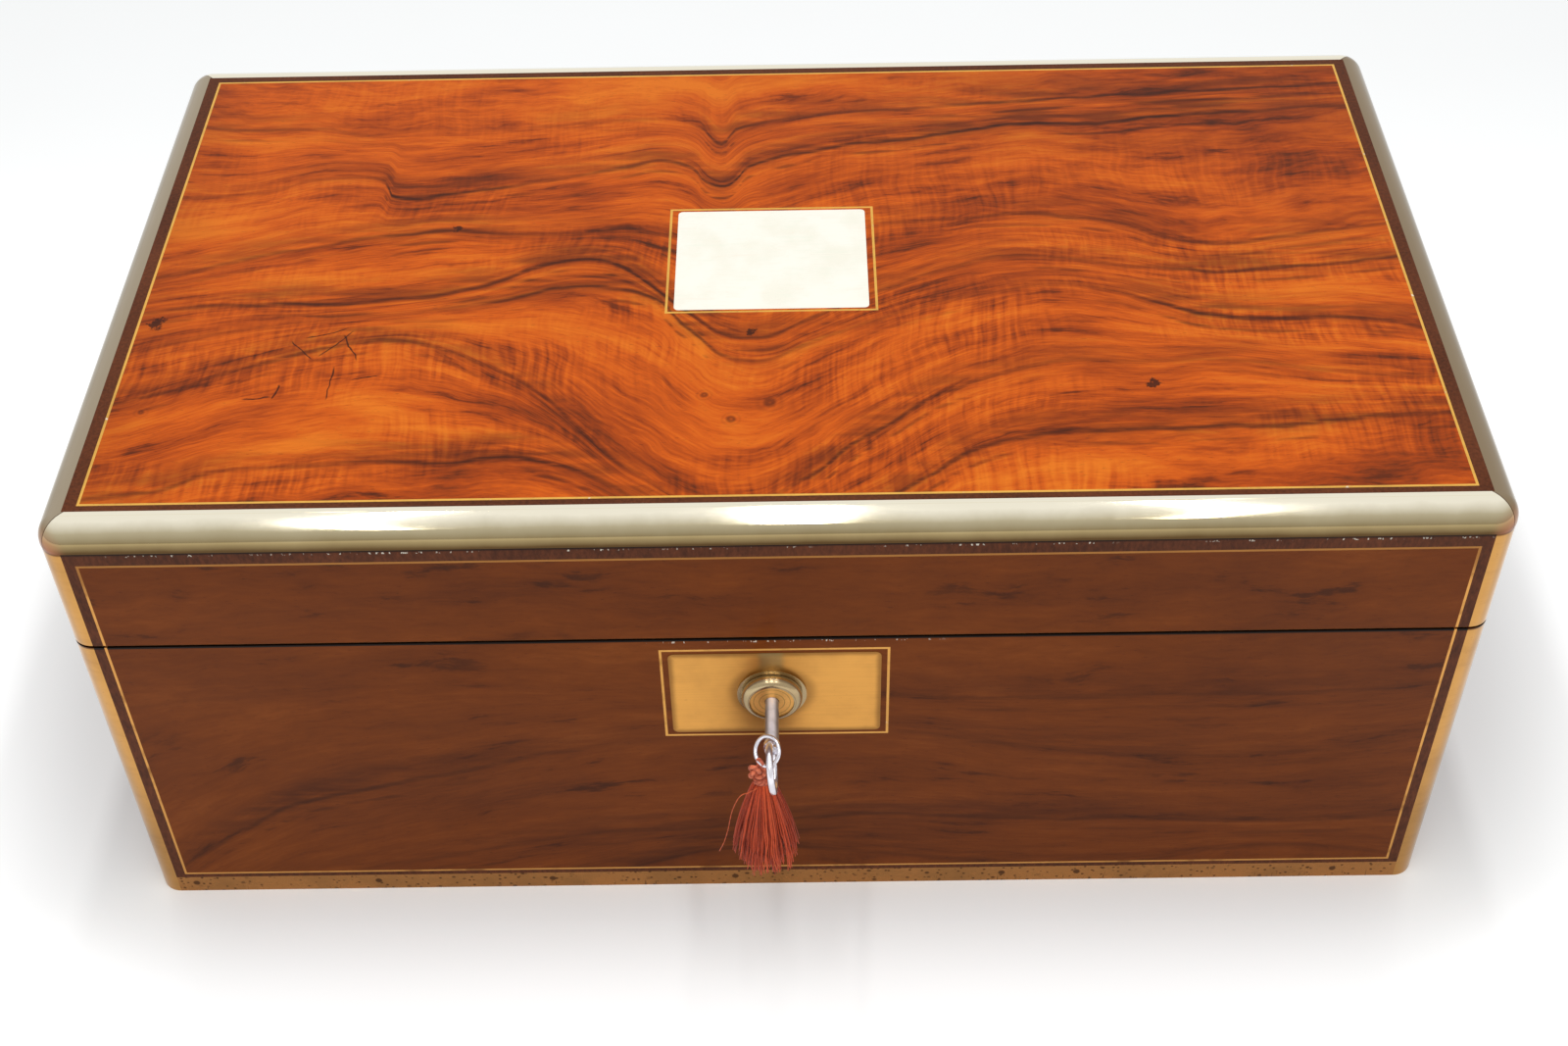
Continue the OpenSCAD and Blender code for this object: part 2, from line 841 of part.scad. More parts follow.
// A turned collar: a tube through the wall, a thin flange and a rounded lip.
module lock_nozzle() {
    bore = barrel_r + run_gap;
    lip_c = nozzle_face - lip_r;
    color(BRASS) toward_front(lock_x, lock_z) rotate_extrude() {
        area([bore, tube_r], [lock_front, lip_c]);
        area([bore, flange_r], [plate_face, plate_face + flange_t]);
        intersection() {
            translate([bore + 0.1, lip_c]) circle(lip_r);
            area([bore, flange_r], [plate_face, nozzle_face]);
        }
    }
}

// The crank pin's slot in the bolt, and the bar and hooked arms above it.
slot_half = crank_pin_r + crank_gap;
slot_wall = 1.8;
tab_w = 10;
bar_z = lock_z + crank_r + slot_half + slot_wall;
bar_h = 3.5;
arm_w = 4;
finger_h = 2.2;
finger_gap = 0.6;
arm_gap = 1.1;
bolt_throw = 2 * crank_dx;

// The bolt drawn from the front at rest, its fingers just short of the staples.
module bolt_shape() {
    pin_x = lock_x - crank_dx;
    staples = [lock_x - staple_x, lock_x + staple_x];
    arms = [for (x = staples) x - staple_w / 2 - arm_gap - bolt_throw];
    difference() {
        union() {
            area([pin_x - tab_w / 2, pin_x + tab_w / 2],
                [lock_z + crank_low - slot_half - slot_wall, bar_z + bar_h]);
            area([arms[0] - arm_w, arms[1]], [bar_z, bar_z + bar_h]);
            for (i = [0, 1]) {
                area([arms[i] - arm_w, arms[i]], [bar_z, eye_z + finger_h / 2]);
                area([arms[i] - arm_w, staples[i] - staple_w / 2 - finger_gap],
                    [eye_z - finger_h / 2, eye_z + finger_h / 2]);
            }
        }
        area([pin_x - slot_half, pin_x + slot_half],
            [lock_z + crank_low - slot_half, lock_z + crank_r + slot_half]);
    }
}

module lock_bolt() {
    color(STEEL) translate([0, -bolt_y + bolt_t / 2, 0]) rotate([90, 0, 0]) linear_extrude(bolt_t)
        bolt_shape();
}

// The case is solid but for the bolt's slide, the chamber of the hooks and the barrel.
module lock_case() {
    half = lock_w / 2 - 1.4;
    slide = 0.2;
    color(BRASS) difference() {
        lock_block();
        block([lock_x - half, lock_x + half], [-bolt_y - bolt_t / 2 - slide, -bolt_y + bolt_t / 2 + slide],
            [lock_z + crank_low - slot_half - slot_wall - slide, far]);
        block([lock_x - half, lock_x + half], [-lock_front + lock_wall, -in_y - lock_back],
            [bar_z + bar_h + 0.3, far]);
        toward_front(lock_x, lock_z) translate([0, 0, bolt_y - bolt_t / 2 - slide])
            cylinder(r = barrel_r + 1.6, h = lock_front - lock_wall - bolt_y + bolt_t / 2 + slide);
        toward_front(lock_x, lock_z) cylinder(r = barrel_r + run_gap, h = far);
    }
}

module staple_slots(extra) {
    for (x = [-staple_x, staple_x])
        tilted() block([lock_x + x - staple_w / 2 - extra, lock_x + x + staple_w / 2 + extra],
            [staple_v - 2.5 - extra, staple_v + 2.5 + extra], [-rim_plate_t - 2 * cut, cut]);
}

module lock_selvedge() {
    color(BRASS) difference() {
        rim_plate(-1);
        staple_slots(0.5);
        rim_screws(-1, rim_screw_places, rim_screw_v);
    }
}

module link_plate() {
    eye_h = 1.6;
    color(BRASS) difference() {
        union() {
            rim_plate(1);
            for (x = [-staple_x, staple_x])
                tilted() block([lock_x + x - staple_w / 2, lock_x + x + staple_w / 2],
                    [staple_v - 2.5, staple_v + 2.5], [-staple_drop - eye_h - 1.4, rim_plate_t / 2]);
        }
        tilted() block([lock_x - far / 2, lock_x + far / 2], [staple_v - 1.5, staple_v + 1.5],
            [-staple_drop - eye_h, -staple_drop + eye_h]);
        rim_screws(1, rim_screw_places, rim_screw_v);
    }
}

module lock_screws() {
    color(BRASS) slotted_screws(-1, rim_screw_places, rim_screw_v);
}

module link_screws() {
    color(BRASS) slotted_screws(1, rim_screw_places, rim_screw_v);
}

lug_w = 1.2;
lug_out = 3.4;
post_r = 0.8;

// The barrel turns in the nozzle and carries the key's post and the crank pin.
module lock_barrel() {
    color(BRASS) toward_front(lock_x, lock_z) {
        difference() {
            union() {
                translate([0, 0, barrel_back]) cylinder(r = barrel_r, h = barrel_face - barrel_back);
                translate([0, 0, barrel_back + 0.6])
                    cylinder(r = barrel_r + 1.3, h = lock_front - lock_wall - barrel_back - 0.7);
            }
            translate([0, 0, key_tip - 0.3]) cylinder(r = key_r + run_gap, h = far);
            block([-lug_w / 2 - 0.2, lug_w / 2 + 0.2], [-lug_out - 0.2, 0], [key_tip - 0.3, far]);
        }
        translate([0, 0, key_tip - 0.4]) cylinder(r = post_r, h = key_in - 1.6);
        translate([-crank_dx, crank_low, bolt_y - bolt_t / 2 - 0.1])
            cylinder(r = crank_pin_r, h = barrel_back - bolt_y + bolt_t / 2 + 0.2);
    }
}

// A round wire bow, drawn out a little across the shaft.
module bow() {
    for (up = [0, 180]) rotate([0, 0, up]) {
        translate([0, bow_tall / 2, 0]) rotate([0, -90, 0]) rotate_extrude(angle = 180)
            translate([bow_r, 0]) circle(bow_wire);
        translate([0, bow_tall / 2, bow_r]) rotate([90, 0, 0]) cylinder(r = bow_wire, h = bow_tall);
    }
}

// A piped key with one lug, a shouldered shaft and a round bow on edge.
module key() {
    color(STEEL) toward_front(lock_x, lock_z) difference() {
        union() {
            translate([0, 0, key_tip]) cylinder(r = key_r, h = key_end - key_tip + bow_wire);
            translate([0, 0, key_end - 1.6]) cylinder(r = key_r + 0.4, h = 1.2);
            block([-lug_w / 2, lug_w / 2], [-lug_out, -key_r / 2], [key_tip + 0.4, key_tip + 3.4]);
            rotate([0, 0, bow_turn]) translate([0, 0, bow_c]) bow();
        }
        translate([0, 0, key_tip - cut]) cylinder(r = post_r + run_gap, h = key_in + cut);
    }
}

module key_ring() {
    color(STEEL) translate(ring_c) rotate([0, ring_lean, ring_turn]) rotate_extrude()
        translate([ring_r, 0]) circle(ring_wire);
}

// Tassel

// The cord's eye round the ring, and a turned knot whose neck stands on the skirt.
module tassel_head() {
    color("#b04a2c") {
        translate(ring_low) rotate([90, 0, ring_turn]) rotate_extrude() translate([loop_r, 0])
            circle(loop_wire);
        translate([knot_c[0], knot_c[1], skirt_top[2]]) rotate_extrude() {
            area([0, neck_r], [0, neck_drop]);
            intersection() {
                translate([0, neck_drop]) circle(knot_r);
                area([0, knot_r], [0, far]);
            }
        }
    }
}

// The skirt hangs in flutes: its radius swells down the length and waves round it.
function skirt_r(t, a) =
    (skirt_top_r + (skirt_hem_r - skirt_top_r) * pow(t, 0.6)) * (1 + 0.09 * t * sin(skirt_flutes * a))
    * (t == 0 ? 0.72 : 1);
function skirt_ring(t) = [
    for (i = [0:skirt_sides - 1])
        let (a = 360 * i / skirt_sides)
            skirt_top + [skirt_r(t, a) * cos(a), skirt_r(t, a) * sin(a),
                -skirt_l * (t + 0.02 * t * cos(4 * a))]
];
skirt_steps = [0, 0.05, 0.2, 0.4, 0.6, 0.8, 1];

module tassel_skirt() {
    n = skirt_sides;
    last = len(skirt_steps) - 1;
    points = concat([for (t = skirt_steps) each skirt_ring(t)], [skirt_top, skirt_top - [0, 0, skirt_l]]);
    faces = concat(
        [for (j = [0:last - 1], i = [0:n - 1]) [j * n + i, j * n + (i + 1) % n, (j + 1) * n + i]],
        [for (j = [0:last - 1], i = [0:n - 1]) [j * n + (i + 1) % n, (j + 1) * n + (i + 1) % n,
            (j + 1) * n + i]],
        [for (i = [0:n - 1]) [(i + 1) % n, i, n * (last + 1)]],
        [for (i = [0:n - 1]) [last * n + i, last * n + (i + 1) % n, n * (last + 1) + 1]]
    );
    color("#8f3820") polyhedron(points, faces);
}

// Hinges

knuckles = 5;
knuckle_l = hinge_l / knuckles;
knuckle_play = 0.15;

// One hinge half: a leaf in the rim and its share of the knuckles.
module hinge_half(side, own) {
    w = side < 0 ? [-leaf_t - leaf_gap, -leaf_gap] : [leaf_gap, leaf_t + leaf_gap];
    for (x = [-hinge_x, hinge_x]) difference() {
        union() {
            tilted() block([x - hinge_l / 2, x + hinge_l / 2], [-leaf_w, -knuckle_r - 0.4], w);
            for (k = own) {
                x0 = x - hinge_l / 2 + k * knuckle_l + (k == 0 ? 0 : knuckle_play);
                x1 = x - hinge_l / 2 + (k + 1) * knuckle_l - (k == knuckles - 1 ? 0 : knuckle_play);
                tilted() block([x0, x1], [-knuckle_r - 0.4, 0], w);
                translate([x0, hinge_y, hinge_z]) rotate([0, 90, 0]) cylinder(r = knuckle_r, h = x1 - x0);
            }
        }
        translate([x - hinge_l, hinge_y, hinge_z]) rotate([0, 90, 0])
            cylinder(r = pin_r + pin_gap, h = 2 * hinge_l);
        rim_screws(side, hinge_screw_x, hinge_screw_v);
    }
}

module hinge_base_leaves() {
    color(BRASS) hinge_half(-1, [0, 2, 4]);
}

module hinge_lid_leaves() {
    color(BRASS) hinge_half(1, [1, 3]);
}

module hinge_pins() {
    color(STEEL) for (x = [-hinge_x, hinge_x])
        translate([x - hinge_l / 2, hinge_y, hinge_z]) rotate([0, 90, 0]) cylinder(r = pin_r, h = hinge_l);
}

module hinge_base_screws() {
    color(BRASS) slotted_screws(-1, hinge_screw_x, hinge_screw_v);
}

module hinge_lid_screws() {
    color(BRASS) slotted_screws(1, hinge_screw_x, hinge_screw_v);
}

// Ink and pen section

module ink_shelf() {
    color(WALNUT) block([-in_x, in_x], [-in_y, ink_y], [shelf_z, shelf_top]);
}

module pen_partition() {
    color(WALNUT) intersection() {
        block([-in_x, in_x], [ink_y, store_y], [baize_t + bottom_t, far]);
        below_split(board_sink);
    }
}

// Two dividers, each with a bearer for the pen tray on its inner side.
module ink_dividers() {
    color(WALNUT) for (side = [0, 1]) mirror([side, 0, 0]) {
        intersection() {
            block([divider_x - divider_t, divider_x], [-in_y, ink_y], [shelf_top, far]);
            below_split(2);
        }
        block([divider_x - divider_t - ledge, divider_x - divider_t], [-in_y, ink_y],
            [shelf_top, tray_top - tray_t]);
    }
}

module pen_tray() {
    x = divider_x - divider_t - 0.4;
    color(WALNUT) difference() {
        block([-x, x], [-in_y + 0.4, ink_y - 0.4], [tray_top - tray_t, tray_top]);
        translate([0, well_y, tray_top + tray_r - tray_t + 4]) {
            rotate([0, 90, 0]) cylinder(r = tray_r, h = 2 * (x - tray_r), center = true);
            for (side = [-1, 1]) translate([side * (x - tray_r), 0, 0]) sphere(tray_r);
        }
    }
}

// A square glass well with a sloped shoulder, and its round mouth.
module bottle() {
    w = bottle_w / 2;
    s = mouth_r + 1.5;
    z = shelf_top;
    profile = [[-w, z], [w, z], [w, z + bottle_h], [s, z + bottle_h + 4], [-s, z + bottle_h + 4],
        [-w, z + bottle_h]];
    difference() {
        union() {
            intersection() {
                translate([0, bottle_w, 0]) rotate([90, 0, 0]) linear_extrude(2 * bottle_w) polygon(profile);
                rotate([90, 0, 90]) translate([0, 0, -bottle_w]) linear_extrude(2 * bottle_w)
                    polygon(profile);
            }
            translate([0, 0, z + bottle_h + 3]) cylinder(r = mouth_r, h = 5);
        }
        translate([0, 0, z + 5]) cylinder(r = mouth_r - 2, h = far);
    }
}

module at_wells() {
    for (side = [-1, 1]) translate([side * well_x, well_y, 0]) children();
}

module inkwell_bottles() {
    color("#dfe8e4") at_wells() bottle();
}

module inkwell_collars() {
    z = shelf_top + bottle_h + 4;
    color(BRASS) at_wells() translate([0, 0, z]) rotate_extrude() difference() {
        area([mouth_r + 0.05, mouth_r + 1.5], [0, 3.6]);
        translate([mouth_r + 1.5, 1.8]) circle(0.5);
    }
}

// Domed brass caps with a bead round the edge.
module inkwell_caps() {
    z = shelf_top + bottle_h + cap_stand;
    bead = mouth_r + cap_bead_at;
    color(BRASS) at_wells() translate([0, 0, z]) rotate_extrude() {
        area([0, bead], [0, cap_rim_t]);
        intersection() {
            translate([0, cap_rim_t + cap_rise - cap_dome_r]) circle(cap_dome_r);
            area([0, mouth_r + 1], [cap_rim_t, cap_rim_t + 2 * cap_rise]);
        }
        intersection() {
            translate([bead, cap_bead_r]) circle(cap_bead_r);
            area([mouth_r, bead + 2 * cap_bead_r], [0, cap_rim_t]);
        }
    }
}

// Writing boards

// A board in its own place, w apart from the parting plane on its side of it.
module board(side, v0) {
    w = side < 0 ? [-board_sink - board_t, -board_sink] : [board_sink, board_sink + board_t];
    skin = side < 0 ? [-board_sink - leather_t, cut] : [-cut, board_sink + leather_t];
    difference() {
        tilted() block([-board_x, board_x], [v0, board_v1], w);
        tilted() block([-board_x + leather_margin, board_x - leather_margin],
            [v0 + leather_margin, board_v1 - leather_margin], skin);
        tilted() translate([0, v0, -far / 2]) cylinder(r = notch_r, h = far);
        board_hinge_pockets(side);
    }
}

module leather(side, v0) {
    w = side < 0 ? [-board_sink - leather_t, -board_sink] : [board_sink, board_sink + leather_t];
    tilted() block([-board_x + leather_margin, board_x - leather_margin],
        [v0 + leather_margin, board_v1 - leather_margin], w);
}

module upper_board() {
    color(WALNUT) board(-1, upper_v0);
}

module upper_leather() {
    color("#1f3a2b") leather(-1, upper_v0);
}

module upper_board_hinges() {
    color(BRASS) board_hinge(-1);
}

module lower_board() {
    color(WALNUT) board(1, lower_v0);
}

module lower_leather() {
    color("#1f3a2b") leather(1, lower_v0);
}

module lower_board_hinges() {
    color(BRASS) board_hinge(1);
}

// Ledges under the upper board: one on each side wall and two on the partition,
// which leave the finger notch free.
module base_ledges() {
    w = [-board_sink - board_t - ledge, -board_sink - board_t];
    color(PINE) for (side = [0, 1]) mirror([side, 0, 0]) {
        tilted() block([in_x - ledge, in_x], [upper_v0 + ledge, along(in_y, w[1])], w);
        intersection() {
            tilted() block([notch_r + 3, in_x - ledge], [upper_v0 - 2 * ledge, upper_v0 + ledge], w);
            block([-far, far], [store_y, far], [0, far]);
        }
    }
}

module lid_ledges() {
    w = [board_sink + board_t, board_sink + board_t + ledge];
    color(PINE) for (side = [0, 1]) mirror([side, 0, 0])
        tilted() block([in_x - ledge, in_x], [along(-in_y, w[0]), along(in_y, w[1])], w);
}

base_front_board();
base_back_board();
base_left_board();
base_right_board();
base_bottom_board();
base_veneer();
base_banding();
base_stringing();
base_corner_strips();
base_foot_strips();
base_baize();
escutcheon_plate();
lock_case();
lock_selvedge();
lock_nozzle();
lock_screws();
hinge_base_leaves();
hinge_pins();
hinge_base_screws();
ink_shelf();
pen_partition();
ink_dividers();
pen_tray();
inkwell_bottles();
inkwell_collars();
inkwell_caps();
upper_board();
upper_leather();
upper_board_hinges();
base_ledges();
lid_top_board();
lid_front_board();
lid_back_board();
lid_left_board();
lid_right_board();
lid_veneer();
lid_banding();
lid_stringing();
lid_corner_strips();
lid_front_edging();
lid_back_edging();
lid_side_edgings();
name_plate();
link_plate();
link_screws();
hinge_lid_leaves();
hinge_lid_screws();
lower_board();
lower_leather();
lower_board_hinges();
lid_ledges();
lock_barrel();
lock_bolt();
key();
key_ring();
tassel_head();
tassel_skirt();
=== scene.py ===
"""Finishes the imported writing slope: figured walnut, brass, leather, glass and a silk tassel."""

import math

import bmesh
import bpy
from mathutils import Matrix, Vector


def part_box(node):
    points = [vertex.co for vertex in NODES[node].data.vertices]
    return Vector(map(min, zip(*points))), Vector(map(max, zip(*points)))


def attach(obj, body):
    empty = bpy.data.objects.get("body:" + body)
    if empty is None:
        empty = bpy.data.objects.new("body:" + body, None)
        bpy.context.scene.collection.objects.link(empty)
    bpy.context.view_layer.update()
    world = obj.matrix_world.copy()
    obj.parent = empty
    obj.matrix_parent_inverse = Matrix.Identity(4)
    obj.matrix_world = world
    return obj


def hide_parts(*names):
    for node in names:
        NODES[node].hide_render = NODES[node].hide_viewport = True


bl_info = {
    "name": "Brass-bound writing slope",
    "version": (1, 0, 0),
    "blender": (4, 5, 0),
    "location": "3D View > Sidebar > Slope",
    "description": "Finishes a writing slope in figured walnut, brass, leather and silk",
    "category": "Object",
}

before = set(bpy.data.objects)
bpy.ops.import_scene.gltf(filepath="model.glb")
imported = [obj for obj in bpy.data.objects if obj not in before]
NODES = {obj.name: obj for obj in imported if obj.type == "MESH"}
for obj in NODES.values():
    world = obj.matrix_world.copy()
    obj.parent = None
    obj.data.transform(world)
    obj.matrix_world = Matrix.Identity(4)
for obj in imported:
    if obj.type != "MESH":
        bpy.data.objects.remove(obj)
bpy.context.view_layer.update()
MM = 0.001

# Lines of the grain, read off: (across, up, how dark), in millimetres.
TOP_LINES = (
    ((-216, 87.5, 0.3), (-200, 84.5, 0.5), (-170, 83.8, 0.3), (-153, 80, 0.25), (-128, 83, 0.1),
     (-103, 82.5, 0.1), (-73, 85.5, 0.3), (-48, 87.5, 0.2), (-36, 86.2, 0.15), (-28, 82, 0.4),
     (-19, 70.5, 0.8), (-16, 77.5, 0.8), (-8, 82.5, 0.7), (10, 87.5, 0.6), (34, 91, 0.6),
     (60, 92.5, 0.6), (97, 96.2, 0.8), (134, 98.8, 0.8), (172, 102, 0.85), (217, 104, 0.6)),
    ((-216, 42.5, 0.3), (-203, 42, 0.3), (-183, 45, 0.25), (-166, 52, 0.3), (-146, 52, 0.35),
     (-141, 49.5, 0.7), (-138, 41.2, 0.95), (-116, 42.5, 0.9), (-98, 46.2, 0.85), (-78, 50.5, 0.5),
     (-53, 57.5, 0.7), (-42, 60.5, 0.75), (-30, 55.8, 0.7), (-25, 46.2, 0.8), (-18, 43, 1),
     (-14, 47.5, 1), (-10, 55, 0.9), (4, 62, 0.85), (22, 67.5, 0.85), (47, 72, 0.85), (72, 77, 1),
     (92, 81, 1), (117, 80, 0.9), (142, 83.8, 1), (162, 85.5, 0.95), (184, 87, 0.6), (217, 90, 0.5)),
    ((-216, -6.2, 0.4), (-190, 2.5, 0.5), (-166, 10, 0.55), (-146, 15, 0.55), (-133, 17.5, 0.8),
     (-116, 20, 0.85), (-98, 17.5, 0.6), (-78, 16.2, 0.4), (-53, 17.5, 0.4), (-33, 12.5, 0.3),
     (-10, 0, 0.2), (12, 10, 0.2), (34, 18.8, 0.3), (60, 21.2, 0.4), (77, 23.8, 0.5), (104, 22.5, 0.6),
     (122, 17.5, 0.6), (134, 10, 0.5), (152, 5, 0.6), (184, 10, 0.5), (217, 16.2, 0.5)),
    ((-216, -25, 0.4), (-186, -20.5, 0.6), (-153, -21.2, 0.9), (-128, -18.8, 0.8), (-108, -15, 0.8),
     (-93, -8.8, 0.8), (-83, -2.5, 0.85), (-68, 2, 0.9), (-53, -2.5, 0.9), (-43, -12.5, 0.9),
     (-30, -27.5, 0.8), (-8, -42.5, 0.7), (12, -32.5, 0.6), (22, -25, 0.5), (37, -17.5, 0.5),
     (60, -6.2, 0.4), (80, 0, 0.5), (97, -1.2, 0.5), (122, -6.2, 0.4), (147, -10, 0.8), (172, -8.8, 0.8),
     (217, -2.5, 0.7)),
    ((-216, -45, 0.3), (-183, -35, 0.25), (-153, -30, 0.2), (-123, -26.2, 0.25), (-93, -20.5, 0.7),
     (-73, -14.2, 0.85), (-58, -14.2, 0.85), (-43, -19.2, 0.85), (-30, -35, 0.8), (-8, -53.8, 0.5),
     (12, -45, 0.4), (42, -30, 0.3), (72, -20, 0.3), (97, -16.2, 0.3), (114, -20, 0.4),
     (130, -27.5, 0.8), (142, -33, 0.95), (162, -36.2, 0.8), (192, -36.2, 0.7), (217, -42.5, 0.3)),
    ((-216, -72.5, 0.5), (-203, -67.5, 0.6), (-183, -57.5, 0.6), (-166, -50, 0.65), (-148, -43.8, 0.7),
     (-128, -40, 0.7), (-116, -42.5, 0.6), (-98, -52.5, 0.5), (-78, -67.5, 0.55), (-63, -85, 0.6),
     (-43, -107.5, 0.35), (-16, -122.5, 0.2), (10, -110, 0.7), (22, -97.5, 0.8), (37, -85, 0.75),
     (52, -72.5, 0.65), (72, -62.5, 0.5), (94, -56.2, 0.4), (122, -57.5, 0.3), (147, -56.2, 0.4),
     (177, -62.5, 0.3), (217, -67.5, 0.3)),
    ((-216, -116.2, 0.4), (-188, -110, 0.6), (-178, -105, 0.5), (-153, -102, 0.4), (-128, -100, 0.6),
     (-103, -101.2, 0.85), (-86, -98.8, 0.9), (-68, -102.5, 0.8), (-53, -111.2, 0.6), (-38, -122.5, 0.4),
     (-8, -135, 0.2), (27, -125, 0.4), (47, -110, 0.75), (60, -100, 0.75), (80, -92.5, 0.75),
     (110, -90, 0.75), (134, -90, 0.8), (172, -87.5, 0.8), (217, -83.8, 0.7)),
)
WALL_LINES = (
    ((-220, 100.5, 0.1), (-166, 108, 0.15), (-103, 110.5, 0.1), (-53, 108, 0.1), (22, 103.5, 0.4),
     (72, 100.5, 0.5), (122, 101.5, 0.4), (172, 101.8, 0.4), (217, 105.5, 0.3)),
    ((-220, 10.5, 0.4), (-190, 35.5, 0.6), (-166, 50.5, 0.9), (-140, 58, 0.8), (-116, 64.2, 0.6),
     (-78, 75.5, 0.4), (-40, 81.8, 0.15), (22, 85.5, 0.15), (47, 83, 0.35), (84, 75.5, 0.4),
     (147, 69.2, 0.4), (217, 78, 0.3)),
    ((-220, -14.5, 0.2), (-153, 10.5, 0.3), (-103, 23, 0.4), (-66, 30.5, 0.5), (-28, 33.5, 0.6),
     (-3, 36, 0.6), (34, 40, 0.7), (72, 36.8, 0.6), (122, 35.5, 0.5), (172, 33, 0.5), (217, 35.5, 0.4)),
    ((-220, -42, 0.1), (-78, 0.5, 0.3), (-43, 15, 0.8), (-10, 23, 0.8), (22, 19.2, 0.5), (72, 11.8, 0.4),
     (122, 10.5, 0.3), (172, 19.2, 0.4), (217, 13, 0.3)),
)
# Reach of the grain tables, wide enough for every line in them.
LINE_ACROSS = 240.0
LINE_UP = 150.0


def box_mm(node):
    """A node's lowest and highest corners, in millimetres."""
    low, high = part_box(node)
    return low / MM, high / MM


def paint(red, green, blue):
    """A colour picked as it shows on screen, made ready for a shader."""
    def straight(level):
        level /= 255
        return level / 12.92 if level <= 0.04045 else ((level + 0.055) / 1.055) ** 2.4
    return straight(red), straight(green), straight(blue), 1.0


def dulled(colour, factor):
    """A colour made darker or lighter by a factor."""
    return tuple(min(1.0, factor * level) for level in colour[:3]) + (1.0,)


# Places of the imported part, in millimetres

WALL_TOP = box_mm("lid_front_edging")[0].z
EDGING_TALL = box_mm("lid_front_edging")[1].z - WALL_TOP
WALL_SIDE_X = box_mm("base_veneer")[1].x - 3.0
CORNER_SUM = box_mm("lid_side_edgings")[1].x + box_mm("lid_back_edging")[1].y
MITRE = box_mm("lid_side_edgings")[1].x - box_mm("lid_back_edging")[1].y
SEAM_BACK = box_mm("lid_veneer")[0].z
SEAM_END_Y = box_mm("lid_veneer")[1].y
SEAM_RISE = (box_mm("base_veneer")[1].z - SEAM_BACK) / (2 * SEAM_END_Y)
LOCK_X, LOCK_Z = -2.7, 105.1
SHANK_R = 2.3
SHANK_END = -151.0
RING_LOW = Vector((-6.42, -158.422, 103.762))
RING_WAY = Vector((0.652, -0.758, 0.0))
KNOT = Vector((-7.721, -158.422, 99.507))
SKIRT_TOP = Vector((-5.521, -158.422, 93.907))

# Marks and fades as read off, in millimetres

KNOTS = ((-1.8, -75.0, 5.5), (-14.0, -82.5, 3.4), (-23.0, -70.5, 3.2), (-204.0, -75.0, 3.0))
SPATTERS = ((122.0, -68.0, 7.0), (-112.0, 21.0, 5.0), (-208.0, -30.0, 9.0), (-8.0, -39.0, 5.0))
SCRATCHES = (
    (-146.0, -42.0, 52.0, 9.0), (-141.0, -44.0, -68.0, 8.0), (-150.0, -36.0, 20.0, 8.0),
    (-157.0, -45.0, -50.0, 7.0), (-145.0, -62.0, 88.0, 9.0), (-162.0, -66.0, 80.0, 4.0),
    (-134.0, -60.0, 12.0, 5.0), (-168.0, -69.0, 5.0, 5.0))
FOOT_PINS = (-213.0, -147.0, -84.0, -18.0, 78.0, 105.0, 197.0)
FOOT_PIN_Z = 4.6
FRONT_Y = -100.0  # only the front wall and what it carries lie before this
UPPER_WALL = 150.0, 163.0  # heights between which the walls' line fades
LINE_ROUND_LOCK = (48.0, 44.0), (24.0, 21.0)  # half width and height round the lock plate
HALO = 14.8, 11.2  # distances from the lock's axis
MIRRORED_X, MIRRORED_Z = (5.2, 2.4), (6.0, 9.0)  # the nozzle's painted reflection, from the lock's axis
SIDE_SHADE_SPAN = -60.0, 60.0, 0.75, 0.9  # painted shade on the side edgings: two places across and how much of it shows there

# Colours beside those of the properties

COPPER = paint(176, 112, 84)
# Tarnish, and painted shade below the edging and in the seam
TARNISH_AND_SHADE = paint(74, 44, 24)
# Painted light on the edging, from its top down: highlight, lit, shaded and low shade; painted shade on its
# sides
EDGING_TOP_HIGHLIGHT = paint(244, 237, 216)
EDGING_LIT = paint(186, 174, 142)
EDGING_SHADED = paint(144, 126, 89)
EDGING_SIDE_SHADE = paint(128, 106, 76)
EDGING_LOW_SHADE = paint(80, 60, 35)
# Painted shade in the seam between lid and base, and below the edging
SEAM_SHADE = paint(16, 8, 4)
# Painted reflection of the nozzle on the lock plate
NOZZLE_REFLECTION = paint(136, 122, 84)
# Painted shade on the flanks of the key's shank
SHANK_FLANK_SHADE = paint(58, 44, 42)
# Painted glints
PAINTED_GLINT = paint(250, 244, 226)
# Painted shade of the inlaid line on the walls
LINE_SHADED = paint(200, 146, 80)
LINE_FAINT = paint(146, 98, 52)
BLACK = paint(0, 0, 0)
FLOOR_FAR = paint(240, 240, 238)

# The tassel's cord and strands, in millimetres

LOOP_R, LOOP_WIRE, LOOP_STEPS = 1.45, 0.55, 28
KNOT_WIDE, KNOT_TURN, KNOT_CORD, KNOT_STEPS = 1.65, 0.85, 0.78, 72
NECK_R, NECK_FLARE, NECK_STEPS = 1.5, 1.1, 10
WRAP_R, WRAP_FLARE, WRAP_CORD, WRAP_TURNS, WRAP_STEPS = 1.75, 0.9, 0.42, 3.6, 64
SKIRT_RISE = 2.4
STRAY_R, STRAY_TAPER = 0.2, 0.06
STRAY = (
    (-5.6, -160.0, 95.2), (-8.2, -160.6, 93.4), (-10.5, -160.4, 91.4), (-13.4, -159.8, 88.7),
    (-15.9, -159.4, 81.7), (-17.0, -159.2, 76.0), (-17.8, -159.0, 70.8), (-19.4, -158.8, 63.5),
    (-21.2, -158.4, 58.0))
STRAND_INPUTS = ("Strands", "Length", "Hem", "Strand", "Seed")
STRAND_STEPS = 16
STRAND_BELL = ((0.0, 0.1), (0.03, 0.2), (0.09, 0.32), (0.2, 0.44), (0.38, 0.6), (0.65, 0.81), (1.0, 1.0))
